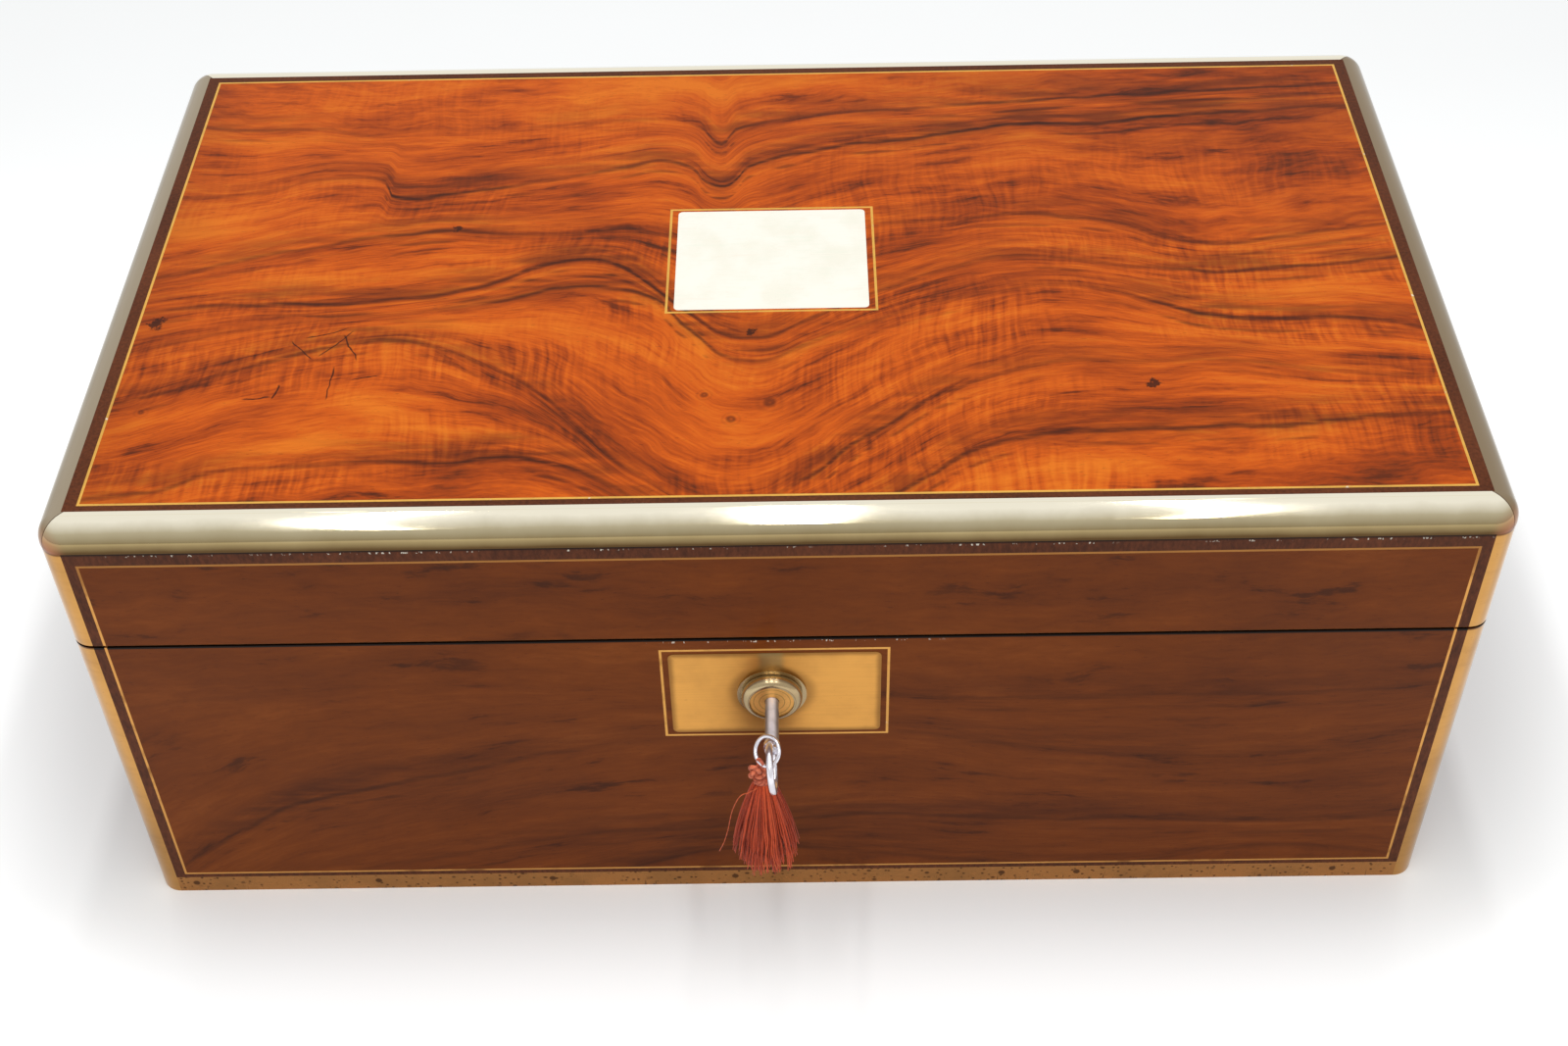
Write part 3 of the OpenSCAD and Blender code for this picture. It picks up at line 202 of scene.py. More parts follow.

# The floor's glow: where each share of it sets in, in millimetres, and the share. The glow stays off the
# floor close round the case, which paints a soft shadow there.

PAINTED_SHADOW_REACH, GLOW_ROUND = (265.0, 345.0), 0.36
BEHIND_CASE, GLOW_BEHIND = (420.0, 120.0), 0.64
BEFORE_CASE, GLOW_BEFORE = (-125.0, -185.0), 0.24
HORIZON, GLOW_HORIZON = (600.0, 1800.0), 0.34

# The rest of the stage, in metres and degrees

SKY_SHOWN = 0.92
FLOOR_HALF = 4.0
LAMP_COLOUR = 1.0, 0.997, 0.99
LAMPS = (  # name, place, width and length, turn, share of the power
    ("lamp_left", (-0.497, -0.72, 1.7), (0.045, 2.4), -4.0, 1.05),
    ("lamp_middle", (0.0, -0.72, 1.7), (0.08, 2.4), 0.0, 1.25),
    ("lamp_right", (0.467, -0.72, 1.7), (0.04, 2.4), 3.6, 1.05))


# Shader and geometry expressions


def maths(operation, flipped=False):
    """A method that adds one Math node, fed by a wire and the values given with it."""
    def build(wire, *others):
        values = (*others, wire) if flipped else (wire, *others)
        return wire.board.add("ShaderNodeMath", {"operation": operation}, dict(enumerate(values)))
    return build


class Wire:
    """An output of a node, on which Python's operators build Math nodes."""
    __add__ = __radd__ = maths("ADD")
    __sub__ = maths("SUBTRACT")
    __rsub__ = maths("SUBTRACT", flipped=True)
    __mul__ = __rmul__ = maths("MULTIPLY")
    __truediv__ = maths("DIVIDE")
    __pow__ = maths("POWER")
    __abs__ = maths("ABSOLUTE")
    above = maths("GREATER_THAN")
    most = maths("MAXIMUM")
    least = maths("MINIMUM")
    sine = maths("SINE")
    cosine = maths("COSINE")

    def __init__(self, board, socket):
        self.board = board
        self.socket = socket

    def fade(self, start, end, low=0.0, high=1.0):
        """low where this is at start, high where it is at end, and smooth between."""
        return self.board.add(
            "ShaderNodeMapRange", {"interpolation_type": "SMOOTHSTEP"},
            {0: self, 1: start, 2: end, 3: low, 4: high})

    def part(self, index):
        """One coordinate of a place."""
        return self.board.add("ShaderNodeSeparateXYZ", None, {0: self}, index)


class Board:
    """Adds nodes to a tree, with their settings first and then their sockets."""

    def __init__(self, tree):
        self.tree = tree

    def add(self, kind, settings=None, sockets=None, out=0):
        made = self.tree.nodes.new(kind)
        for name, value in (settings or {}).items():
            if name == "stops":
                self.set_stops(made.color_ramp, value)
            elif name == "points":
                self.set_points(made.mapping, value)
            else:
                setattr(made, name, value)
        for name, value in (sockets or {}).items():
            self.feed(made.inputs[name], value)
        return Wire(self, made.outputs[out]) if len(made.outputs) else made

    def feed(self, socket, value):
        if isinstance(value, Wire):
            self.tree.links.new(value.socket, socket)
        elif value is not None:
            socket.default_value = value

    @staticmethod
    def set_stops(ramp, stops):
        (first, first_colour), (last, last_colour) = stops[0], stops[-1]
        ramp.elements[0].position, ramp.elements[0].color = first, first_colour
        ramp.elements[1].position, ramp.elements[1].color = last, last_colour
        for place, colour in stops[1:-1]:
            ramp.elements.new(place).color = colour

    @staticmethod
    def set_points(mapping, points):
        curve = mapping.curves[0]
        curve.points[0].location, curve.points[1].location = points[0], points[-1]
        for place in points[1:-1]:
            curve.points.new(*place)
        mapping.use_clip = False
        mapping.update()

    def mix(self, first, second, share):
        """Colours mixed by a share from 0, the first, to 1, the second."""
        return self.add("ShaderNodeMix", {"data_type": "RGBA"}, {0: share, 6: first, 7: second}, 2)

    def join(self, x, y=0.0, z=0.0):
        return self.add("ShaderNodeCombineXYZ", None, {0: x, 1: y, 2: z})

    def at(self, place):
        """A place as one wire, joined where it is given as a tuple of coordinates."""
        return self.join(*place) if isinstance(place, tuple) else place

    def length(self, *place):
        """How far a place lies from the origin."""
        return self.add("ShaderNodeVectorMath", {"operation": "LENGTH"}, {0: self.at(place)}, 1)

    def noise(self, place, scale=1.0, detail=2.0, rough=0.5, swirl=0.0):
        return self.add(
            "ShaderNodeTexNoise", None,
            {"Vector": self.at(place), "Scale": scale, "Detail": detail, "Roughness": rough,
             "Distortion": swirl})

    def cells(self, place, scale=1.0, feature="F1"):
        return self.add(
            "ShaderNodeTexVoronoi", {"feature": feature}, {"Vector": self.at(place), "Scale": scale})

    def ramp(self, value, *stops):
        return self.add("ShaderNodeValToRGB", {"stops": stops}, {0: value})

    def curve(self, value, points):
        return self.add("ShaderNodeFloatCurve", {"points": points}, {"Value": value})


class Finish(Board):
    """A material in the making. Its places are Object coordinates in millimetres."""

    def __init__(self, name):
        self.material = bpy.data.materials.new(name)
        self.material.use_nodes = True
        super().__init__(self.material.node_tree)
        self.shader = self.tree.nodes["Principled BSDF"]
        metres = self.add("ShaderNodeTexCoord", None, None, 3)
        self.place = self.add("ShaderNodeVectorMath", {"operation": "SCALE"}, {0: metres, 3: 1 / MM})
        self.x, self.y, self.z = (self.place.part(i) for i in range(3))

    def streaks(self, along_x, along_y, along_z, detail=2, rough=0.5):
        """Noise with a scale for each axis, for patterns that run one way."""
        return self.noise((self.x * along_x, self.y * along_y, self.z * along_z), 1.0, detail, rough)

    def bump(self, height, deep, strength=1.0):
        return self.add(
            "ShaderNodeBump", None, {"Height": height, "Distance": deep * MM, "Strength": strength})

    def done(self, **sockets):
        for name, value in sockets.items():
            self.feed(self.shader.inputs[name.replace("_", " ").title().replace("Ior", "IOR")], value)
        return self.material


def finish_node(node, material):
    """Puts a material in every slot of a CAD node."""
    slots = NODES[node].data.materials
    if not len(slots):
        slots.append(material)
    for index in range(len(slots)):
        slots[index] = material


# Woods


def grain_lines(board, across, up, lines):
    """The depth into the grain, one more at each line, with its sharp and its soft lines."""
    step = (across + LINE_ACROSS) / (2 * LINE_ACROSS)
    waver = (board.noise((across * 0.045, up * 0.06, 5.0), detail=2, rough=0.5) - 0.5) * 4.6
    broken = board.noise((across * 0.035, up * 0.24, 9.0), detail=3)
    frayed = board.noise((across * 0.06, up * 0.7, 11.0), detail=3, rough=0.6)
    heights = []
    sharp = hazy = None
    for line in lines:
        shape = [((x + LINE_ACROSS) / (2 * LINE_ACROSS), (y + LINE_UP) / (2 * LINE_UP)) for x, y, _ in line]
        force = [((x + LINE_ACROSS) / (2 * LINE_ACROSS), level) for x, _, level in line]
        height = board.curve(step, shape) * (2 * LINE_UP) - LINE_UP
        strength = board.curve(step, force)
        heights.append(height)
        off = up - height + waver
        core = abs(off).fade(1.9, 0.2) * frayed.fade(0.3, 0.55, 0.45, 1.0)
        soft = abs(off - 4.0).fade(13.0, 0.0) * broken.fade(0.32, 0.62, 0.1, 0.95)
        twin = abs(off + 6.5 - waver * 0.5).fade(1.7, 0.2) * broken.fade(0.45, 0.6) * 0.7
        line, haze = strength * core.most(twin), strength * soft
        sharp = line if sharp is None else sharp.most(line)
        hazy = haze if hazy is None else hazy.most(haze)
    depth = None
    ends = [LINE_UP + 20.0] + heights + [-LINE_UP - 20.0]
    for upper, lower in zip(ends, ends[1:]):
        share = ((upper - up) / (upper - lower)).most(0.0).least(1.0)
        depth = share if depth is None else depth + share
    return depth + waver * 0.022, sharp, hazy


def walnut(board, across, up, lines, tones, ripple=0.42, fine=1.0, contrast=1.5, crisp=0.95):
    """The colour and the height of walnut veneer whose grain follows drawn lines."""
    dark, brown, warm, light, ink = tones
    depth, sharp, hazy = grain_lines(board, across, up, lines)
    broad = board.noise((across * 0.009, depth * 2.3, 1.0), detail=3, rough=0.55)
    streak = board.noise((across * 0.026, depth * 8.0 * fine, 2.0), detail=5, rough=0.66)
    fibre = board.noise((across * 0.1, depth * 55.0 * fine, 3.0), detail=3, rough=0.6)
    patch = board.noise((across * 0.013, up * 0.016, 4.0), detail=2)
    bend = patch * 9.0 + board.noise((across * 0.05, up * 0.05, 12.0), detail=1) * 2.0
    waves = board.noise((across * 0.52 + bend, depth * 1.7, 6.0), detail=1)
    pores = board.noise((across * 0.3, up * 2.2 + depth * 6.0, 8.0), detail=2)
    level = broad * 0.42 + streak * 0.4 + patch * 0.2 + (fibre - 0.5) * 0.2
    level = (level - 0.51) * contrast + 0.52
    rippled = board.noise((across * 0.011, up * 0.03, 14.0), detail=2).fade(0.42, 0.62)
    rippled = rippled * up.fade(70.0, -20.0, 0.35, 1.0)
    level = level + (waves - 0.5) * rippled * ripple
    colour = board.ramp(level, (0.3, dark), (0.43, brown), (0.56, warm), (0.72, light))
    thin = streak.fade(0.42, 0.33) * broad.fade(0.64, 0.44)
    colour = board.mix(colour, ink, thin * 0.55)
    colour = board.mix(colour, board.mix(dark, ink, 0.45), hazy * 0.8)
    colour = board.mix(colour, ink, sharp * crisp)
    pitted = pores.fade(0.36, 0.27)
    colour = board.mix(colour, ink, pitted * 0.4)
    return colour, fibre * 0.5 - pitted


def veneered(name, lid, tones, shaded_wall_tones, varnish):
    """Veneer of the walls, and on the lid also the figured sheet of its top."""
    board = Finish(name)
    side = abs(board.x).above(WALL_SIDE_X)
    far = board.y.above(0.0)
    across = board.x * (1.0 - side) + (board.y * 1.7 + 21.0) * side
    across = across * (1.0 - far * (1.0 - side) * 2.0)
    # the walls' walnut, browner than the top's and darker as painted shade
    colour, height = walnut(board, across, board.z, WALL_LINES, shaded_wall_tones, 0.06, 0.7, 0.85, 0.6)
    colour = shaded_seams(board, colour)
    coat = varnish * 0.6
    if lid:
        on_top = board.z.above(WALL_TOP)
        top_colour, top_height = walnut(board, board.x, board.y, TOP_LINES, tones)
        top_colour = marks_on_top(board, top_colour, tones[-1])
        colour = board.mix(colour, top_colour, on_top)
        height = height * (1.0 - on_top) + top_height * on_top
        coat = on_top * (varnish * 0.4) + coat
    smear = board.streaks(0.02, 0.05, 0.05, detail=3)
    return board.done(
        base_color=colour, roughness=smear * 0.2 + 0.36, coat_weight=coat, coat_roughness=0.14,
        specular_ior_level=0.05, normal=board.bump(height, 0.02, 0.5))


def shaded_seams(board, colour):
    """Painted shade in the seam between lid and base and below the edging, and painted glints by the seam.
    """
    off = board.z - SEAM_BACK - (SEAM_END_Y - board.y) * SEAM_RISE
    # painted shade in the seam between lid and base, and below the edging
    seam_shade_mask = abs(off).fade(0.95, 0.5)
    shade_under_edging = (WALL_TOP - board.z).fade(1.5, 0.6) * (WALL_TOP + 0.1 - board.z).above(0.0)
    colour = board.mix(colour, SEAM_SHADE, seam_shade_mask.most(shade_under_edging * 0.85))
    # pale specks by the seam and under the edging's lip: painted glints, some standing for dried polish
    painted_glint_specks = board.noise((board.x * 0.9, off * 0.4, 21.0), detail=2).fade(0.6, 0.66)
    near = abs(off + 1.15).fade(0.5, 0.25) * abs(board.x - 5.0).fade(52.0, 34.0)
    lip = abs(board.z - WALL_TOP + 1.5).fade(0.5, 0.2)
    near = near.most(lip * board.streaks(0.02, 0.0, 0.0, detail=1).fade(0.42, 0.55))
    return board.mix(colour, PAINTED_GLINT, painted_glint_specks * near * (FRONT_Y - board.y).above(0.0) * 0.7)


def marks_on_top(board, colour, ink):
    """Small knots, a dark spatter, crossed scratches, a darker left end and painted shade over the back
    right of the top.
    """
    swirl = board.noise(board.place, 0.1, detail=3)
    for x, y, reach in KNOTS:
        ring = board.length(board.x - x, board.y - y) + (swirl - 0.5) * reach
        rings = (ring * (9.0 / reach)).sine() * 0.5 + 0.5
        colour = board.mix(colour, ink, ring.fade(reach, reach * 0.3) * rings * 0.6)
    spot = board.noise(board.place, 0.55, detail=4, rough=0.7)
    for x, y, reach in SPATTERS:
        near = board.length(board.x - x, board.y - y).fade(reach, 0.0)
        colour = board.mix(colour, ink, (near * 0.55 + spot - 0.5).fade(0.36, 0.5) * 0.9)
    for x, y, turn, length in SCRATCHES:
        cos, sin = math.cos(math.radians(turn)), math.sin(math.radians(turn))
        run = (board.x - x) * cos + (board.y - y) * sin
        off = (board.y - y) * cos - (board.x - x) * sin + (swirl - 0.5) * 4.0
        hair = abs(off).fade(0.42, 0.08) * abs(run).fade(length, length * 0.7)
        colour = board.mix(colour, ink, hair * 0.9)
    edge = (board.x + board.noise(board.place, 0.03) * 50.0).fade(-160.0, -205.0)
    colour = board.mix(colour, ink, edge * 0.25)
    cloud = board.noise((board.x * 0.012, board.y * 0.05, 17.0), detail=3)
    # painted shade over the back right of the top
    back_right_shade = board.y.fade(-20.0, 110.0) * board.x.fade(-60.0, 170.0)
    return board.mix(colour, ink, back_right_shade * cloud.fade(0.3, 0.65) * 0.34)


def crossbanding(tones):
    """Dark straight-grained wood whose grain runs across each band."""
    board = Finish("dark_crossbanding")
    fibre = board.streaks(0.9, 0.9, 0.35, detail=4, rough=0.6)
    broad = board.streaks(0.03, 0.03, 0.08, detail=2)
    colour = board.ramp(fibre * 0.6 + broad * 0.4, (0.36, tones[0]), (0.52, tones[1]), (0.68, tones[2]))
    return board.done(
        base_color=shaded_seams(board, colour), roughness=fibre * 0.2 + 0.36, coat_weight=0.1,
        coat_roughness=0.14, specular_ior_level=0.05, normal=board.bump(fibre, 0.02, 0.4))


def plain_wood(name, tones, along, coat=0.0):
    """Straight-grained wood: along gives how far its pattern is drawn out on each axis."""
    board = Finish(name)
    bend = board.noise(board.place, 0.008, detail=2) * 16.0
    place = (
        board.x * along[0] + bend * 0.1, board.y * along[1] + bend * 0.5, board.z * along[2] + bend)
    rings = board.noise(place, 0.35, 4, 0.6)
    fibre = board.streaks(*(4 * a for a in along), 3, 0.6)
    colour = board.ramp(rings * 0.7 + fibre * 0.3, (0.35, tones[0]), (0.5, tones[1]), (0.66, tones[2]))
    return board.done(
        base_color=colour, roughness=fibre * 0.25 + 0.4, coat_weight=coat, coat_roughness=0.2,
        normal=board.bump(fibre, 0.05, 0.6))


# Metals


def brushed(name, colour, shade, run, rough, tarnish=0.25, extra=None, relief=0.4):
    """Metal with fine lines along one way, soft tarnish and small dark specks."""
    board = Finish(name)
    lines = board.streaks(*run, 3, 0.65)
    cloud = board.noise(board.place, 0.05, 4, 0.6)
    specks = board.noise(board.place, 0.8, 2, 0.5).fade(0.33, 0.24)
    tone = board.mix(colour, shade, cloud.fade(0.42, 0.72) * tarnish + lines.fade(0.45, 0.75) * 0.16)
    tone = board.mix(tone, shade, specks * tarnish)
    roughness = cloud * 0.14 + lines * 0.08 + rough - 0.1
    if extra:
        tone, roughness = extra(board, tone, roughness, cloud)
    return board.done(
        base_color=tone, metallic=1.0, roughness=roughness, normal=board.bump(lines, 0.012, relief))


def edging_extra(board, tone, roughness, cloud):
    """Painted light on the rounded edging and painted shade on its sides, below it and in the seam; its
    mitres, and coppery wear on the ball corners.
    """
    edging = board.z.fade(WALL_TOP - 1.0, WALL_TOP)
    climb = (board.z - WALL_TOP) / EDGING_TALL + (cloud - 0.5) * 0.16
    # painted light: a highlight at the top of the rounded edging, fading to painted shade at its foot
    painted_light = board.ramp(
        climb, (0.06, EDGING_LOW_SHADE), (0.4, EDGING_SHADED), (0.7, EDGING_LIT), (0.94, EDGING_TOP_HIGHLIGHT))
    tone = board.mix(tone, painted_light, edging)
    past_mitre = abs(board.x) - abs(board.y) - MITRE
    side = past_mitre.fade(-0.3, 0.3) * edging
    # painted shade on the side edgings, deeper on the right
    tone = board.mix(tone, EDGING_SIDE_SHADE, side * board.x.fade(*SIDE_SHADE_SPAN))
    # painted shade below the edging and in the seam between lid and base, on the corner strips
    shade_under_edging = (WALL_TOP - board.z).fade(1.6, 0.7) * (WALL_TOP - 0.05 - board.z).above(0.0)
    strip_seam_shade = abs(board.z - SEAM_BACK - (SEAM_END_Y - board.y) * SEAM_RISE).fade(0.8, 0.45) * (1.0 - edging)
    tone = board.mix(tone, TARNISH_AND_SHADE, shade_under_edging.most(strip_seam_shade) * 0.85)
    mitre = abs(past_mitre).fade(0.32, 0.12) * edging
    corner = (abs(board.x) + abs(board.y)).fade(CORNER_SUM - 11.0, CORNER_SUM - 3.0) * edging
    tone = board.mix(tone, COPPER, corner * (cloud * 1.4).least(1.0) * 0.85)
    smooth = cloud * 0.03 + 0.05
    roughness = roughness * (1.0 - edging) + smooth * edging + mitre * 0.3
    return board.mix(tone, TARNISH_AND_SHADE, mitre * 0.9), roughness


def line_extra(board, tone, roughness, cloud):
    """The inlaid line: painted shade on the walls, less round the lock plate, faintest near their top, and
    bright with painted glints on the lid's top.
    """
    wall = board.z.fade(WALL_TOP + 1.0, WALL_TOP)
    worn = board.noise(board.place, 0.12, 3)
    # painted shade: on the walls the line is a darker copy of the line on the top
    dull = board.mix(LINE_SHADED, LINE_FAINT, board.z.fade(*UPPER_WALL).most(worn.fade(0.5, 0.75)))
    half_wide, half_high = LINE_ROUND_LOCK
    round_lock = abs(board.x - LOCK_X).fade(*half_wide) * abs(board.z - LOCK_Z).fade(*half_high)
    wall = wall * (1.0 - round_lock * 0.2)
    # painted glints on the line of the lid's top
    glint = board.noise(board.place, 0.3, 2).fade(0.7, 0.76) * (1.0 - wall)
    tone = board.mix(board.mix(tone, dull, wall * 0.95), PAINTED_GLINT, glint * 0.7)
    return tone, roughness + wall * 0.25


def ring_extra(board, tone, roughness, cloud):
    """Fine turned rings round the axis of the lock."""
    rings = (board.length(board.x - LOCK_X, board.z - LOCK_Z) * 3.4).sine().fade(0.8, 1.0) * 0.45
    return board.mix(tone, TARNISH_AND_SHADE, rings), roughness


def foot_extra(board, tone, roughness, cloud):
    """The heads of the pins in the foot strips, and the marks of wear between them."""
    along = board.x + board.y * 3.1
    marks = board.cells((along * 0.17, board.z * 0.22, 0.0))
    sizes = board.noise((along * 0.05, 0.0, 3.0), 1.0, 1)
    dents = marks.fade(0.2, 0.08) * sizes.fade(0.36, 0.52)
    fine = board.cells((along * 0.42, board.z * 0.45, 7.0)).fade(0.3, 0.12)
    fine = fine * board.noise((along * 0.02, 0.0, 8.0), 1.0, 2).fade(0.3, 0.5)
    ticks = board.noise((along * 1.1, board.z * 0.16, 4.0), 1.0, 2).fade(0.38, 0.3)
    low = board.z.fade(4.4, 0.6)
    worn = (dents * 0.85).most(ticks * low * 0.7).most(fine * 0.8)
    for x in FOOT_PINS:
        worn = worn.most(board.length(board.x - x, board.z - FOOT_PIN_Z).fade(1.5, 0.9) * 0.85)
    return board.mix(tone, TARNISH_AND_SHADE, worn), roughness + worn * 0.3


def plate_extra(board, tone, roughness, cloud):
    """The lock plate's dulled rim, a darker halo round the nozzle, and a painted reflection of the nozzle
    above it.
    """
    low, high = box_mm("escutcheon_plate")
    middle = (low + high) / 2
    half_w, half_h = (high.x - low.x) / 2, (high.z - low.z) / 2
    across, up = abs(board.x - middle.x), abs(board.z - middle.z)
    rim = ((across - half_w).most(up - half_h) + (cloud - 0.5) * 1.2).fade(-2.4, -0.2)
    away = board.length((board.x - LOCK_X) * 0.92, board.z - LOCK_Z)
    halo = (away + (cloud - 0.5) * 3.0).fade(*HALO)
    tone = board.mix(tone, TARNISH_AND_SHADE, rim * 0.55)
    # painted reflection of the nozzle on the plate above it
    painted_reflection = abs(board.x - LOCK_X).fade(*MIRRORED_X) * (board.z - LOCK_Z).fade(*MIRRORED_Z)
    tone = board.mix(tone, NOZZLE_REFLECTION, painted_reflection * 0.6)
    return board.mix(tone, TARNISH_AND_SHADE, halo * 0.42), roughness + rim * 0.15


def nickel_plate(bright, dull):
    """Satin plate, with painted shade on the flanks of the key's round shank."""
    board = Finish("nickel_plate")
    cloud = board.noise(board.place, 0.4, detail=3)
    shank = board.y.fade(SHANK_END - 0.5, SHANK_END + 0.5)
    # painted shade on the flanks of the round shank
    flank_shade = abs(board.x - LOCK_X).fade(SHANK_R * 0.2, SHANK_R * 0.85) * shank
    tone = board.mix(bright, dull, cloud.fade(0.45, 0.75) * 0.3)
    return board.done(
        base_color=board.mix(tone, SHANK_FLANK_SHADE, flank_shade * 0.85), metallic=0.85 - shank * 0.65,
        roughness=cloud * 0.1 + 0.18, normal=board.bump(cloud, 0.01, 0.3))


def clear_glass():
    """Glass with faint seeds."""
    board = Finish("inkwell_glass")
    seeds = board.noise(board.place, 0.35, 2)
    return board.done(
        base_color=board.mix(paint(226, 238, 230), paint(240, 246, 242), seeds), roughness=seeds * 0.05,
        transmission_weight=1.0, ior=1.5, normal=board.bump(seeds, 0.05, 0.3))


def tooled_leather(leather, gilt, node):
    """Grained leather with a line tooled in gold inside its edge."""
    board = Finish("writing_leather_" + node.split("_")[0])
    low, high = box_mm(node)
    inset = (board.x - low.x).least(high.x - board.x)
    inset = inset.least(board.y - low.y).least(high.y - board.y)
    pebbles = board.cells(board.place, 0.9, "SMOOTH_F1")
    cloud = board.noise(board.place, 0.02, 4, 0.6)
    colour = board.mix(leather, dulled(leather, 0.45), cloud.fade(0.35, 0.7))
    colour = board.mix(colour, dulled(leather, 0.4), pebbles.fade(0.3, 0.7) * 0.5)
    wide = abs(inset - 6.0).fade(0.62, 0.45)
    narrow = abs(inset - 8.6).fade(0.3, 0.2)
    beads = ((board.x + board.y) * 2.2).sine().fade(-0.2, 0.3) * abs(inset - 10.8).fade(0.6, 0.45)
    worn = board.noise(board.place, 0.4, 3).fade(0.3, 0.42)
    gold = wide.most(narrow).most(beads) * worn
    return board.done(
        base_color=board.mix(colour, gilt, gold), metallic=gold * 0.9, roughness=0.55 - gold * 0.2,
        normal=board.bump(pebbles * -1.0 - gold * 0.4, 0.12, 0.7))


def felt(colour, dark):
    """Matted wool."""
    board = Finish("baize_felt")
    fluff = board.noise(board.place, 2.4, 4, 0.7, 0.6)
    worn = board.noise(board.place, 0.03, 3)
    return board.done(
        base_color=board.mix(dark, colour, (fluff * 0.7 + worn * 0.3).fade(0.35, 0.65)), roughness=0.95,
        sheen_weight=0.3, normal=board.bump(fluff, 0.3, 0.8))


def pearl(light, cream):
    """Mother-of-pearl: pale cream with faint green and peach clouds in thin layers."""
    board = Finish("pearl_name_plate")
    bend = board.noise(board.place, 0.05, 3) * 5.0
    layers = board.noise((board.x * 0.06 + bend, board.y * 0.5, bend), 1.0, 3)
    clouds = board.noise(board.place, 0.07, 3, 0.55)
    colour = board.mix(light, cream, clouds.fade(0.35, 0.7) * 0.6)
    colour = board.mix(colour, paint(230, 238, 220), layers.fade(0.52, 0.75) * 0.3)
    colour = board.mix(colour, paint(248, 232, 214), layers.fade(0.42, 0.25) * 0.3)
    return board.done(
        base_color=colour, roughness=layers * 0.12 + 0.22, coat_weight=0.25, coat_roughness=0.1,
        normal=board.bump(layers, 0.01, 0.3))


def silk(name, light, dark, glow):
    """Silk shaded by each piece's attributes: its strand's shade, and on cords the turn round them."""
    board = Finish(name)
    strand = board.add("ShaderNodeAttribute", {"attribute_name": "strand"}, None, 2)
    along = board.add("ShaderNodeAttribute", {"attribute_name": "along"}, None, 2)
    twist = along.sine() * 0.5 + 0.5
    fibre = board.streaks(2.2, 2.2, 0.5, 3, 0.6)
    colour = board.mix(dark, light, (strand * 0.62 + fibre * 0.5).fade(0.15, 0.85))
    colour = board.mix(colour, glow, strand.fade(0.75, 1.0) * 0.55)
    colour = board.mix(colour, dark, twist.fade(0.5, 0.1) * 0.5)
    return board.done(
        base_color=colour, roughness=0.6 - fibre * 0.15, sheen_weight=0.08, specular_ior_level=0.2,
        normal=board.bump(twist * 0.8 + fibre * 0.2, 0.12, 0.8))


# Shapes


def tube(path, radius, sides=8, closed=False, twist=0.0):
    """Points and faces of a tube round a path, with where each point lies along it."""
    count = len(path)
    points, faces, along = [], [], []
    side = None
    rings = []
    for i, here in enumerate(path):
        before = path[i - 1] if closed or i else here
        after = path[(i + 1) % count] if closed or i < count - 1 else here
        way = (after - before).normalized()
        if side is None:
            side = way.orthogonal().normalized()
        side = (side - way * side.dot(way)).normalized()
        rings.append((here, way, side))
    slip = 0.0
    if closed:
        way, side = rings[0][1], rings[0][2]
        last = (rings[-1][2] - way * rings[-1][2].dot(way)).normalized()
        slip = math.atan2(way.dot(last.cross(side)), last.dot(side))
    run = 0.0
    for i, (here, way, side) in enumerate(rings):
        if i:
            run += (here - rings[i - 1][0]).length
        other = way.cross(side)
        size = radius(i / (count - 1)) if callable(radius) else radius
        for k in range(sides):
            turn = 2 * math.pi * k / sides + slip * i / count
            points.append(here + (side * math.cos(turn) + other * math.sin(turn)) * size)
            along.append(run * twist + turn)
    for i in range(count if closed else count - 1):
        j = (i + 1) % count
        for k in range(sides):
            m = (k + 1) % sides
            faces.append((i * sides + k, i * sides + m, j * sides + m, j * sides + k))
    if not closed:
        faces.append(tuple(range(sides - 1, -1, -1)))
        faces.append(tuple((count - 1) * sides + k for k in range(sides)))
    return points, faces, along


def made_piece(name, parts, material, body, shades):
    """One mesh piece from several tubes, given in millimetres, riding on a body."""
    mesh = bpy.data.meshes.new(name)
    points, faces, along, strand = [], [], [], []
    for (part_points, part_faces, part_along), level in zip(parts, shades):
        base = len(points)
        points += [p * MM for p in part_points]
        faces += [tuple(base + i for i in face) for face in part_faces]
        along += part_along
        strand += [level] * len(part_points)
    mesh.from_pydata(points, [], faces)
    for key, values in (("along", along), ("strand", strand)):
        mesh.attributes.new(key, "FLOAT", "POINT").data.foreach_set("value", values)
    piece = bpy.data.objects.new(name, mesh)
    bpy.context.scene.collection.objects.link(piece)
    mesh.materials.append(material)
    mesh.shade_smooth()
    tidy_faces(mesh)
    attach(piece, body)
    return piece


def tidy_faces(mesh):
    work = bmesh.new()
    work.from_mesh(mesh)
    bmesh.ops.recalc_face_normals(work, faces=work.faces)
    work.to_mesh(mesh)
    work.free()


def smooth_path(points, steps):
    """A path through the given points by Catmull and Rom's rule."""
    last = len(points) - 1
    path = []
    for i in range(last):
        a, b, c, d = (points[min(max(i + k, 0), last)] for k in (-1, 0, 1, 2))
        for s in range(steps):
            t = s / steps
            path.append(0.5 * (2 * b + (c - a) * t + (2 * a - 5 * b + 4 * c - d) * t ** 2
                               + (3 * b - a - 3 * c + d) * t ** 3))
    return path + [points[-1]]


# Properties


def shade(name, description, red, green, blue):
    """A property that holds a colour."""
    return bpy.props.FloatVectorProperty(
        name=name, description=description, subtype="COLOR", size=4, min=0.0, max=1.0,
        default=paint(red, green, blue))


def colours(group, *names):
    """The colours that a group of properties holds under these names."""
    return [tuple(getattr(group, name)) for name in names]


def number(name, description, default, **limits):
    """A property that holds a number."""
    return bpy.props.FloatProperty(name=name, description=description, default=default, **limits)


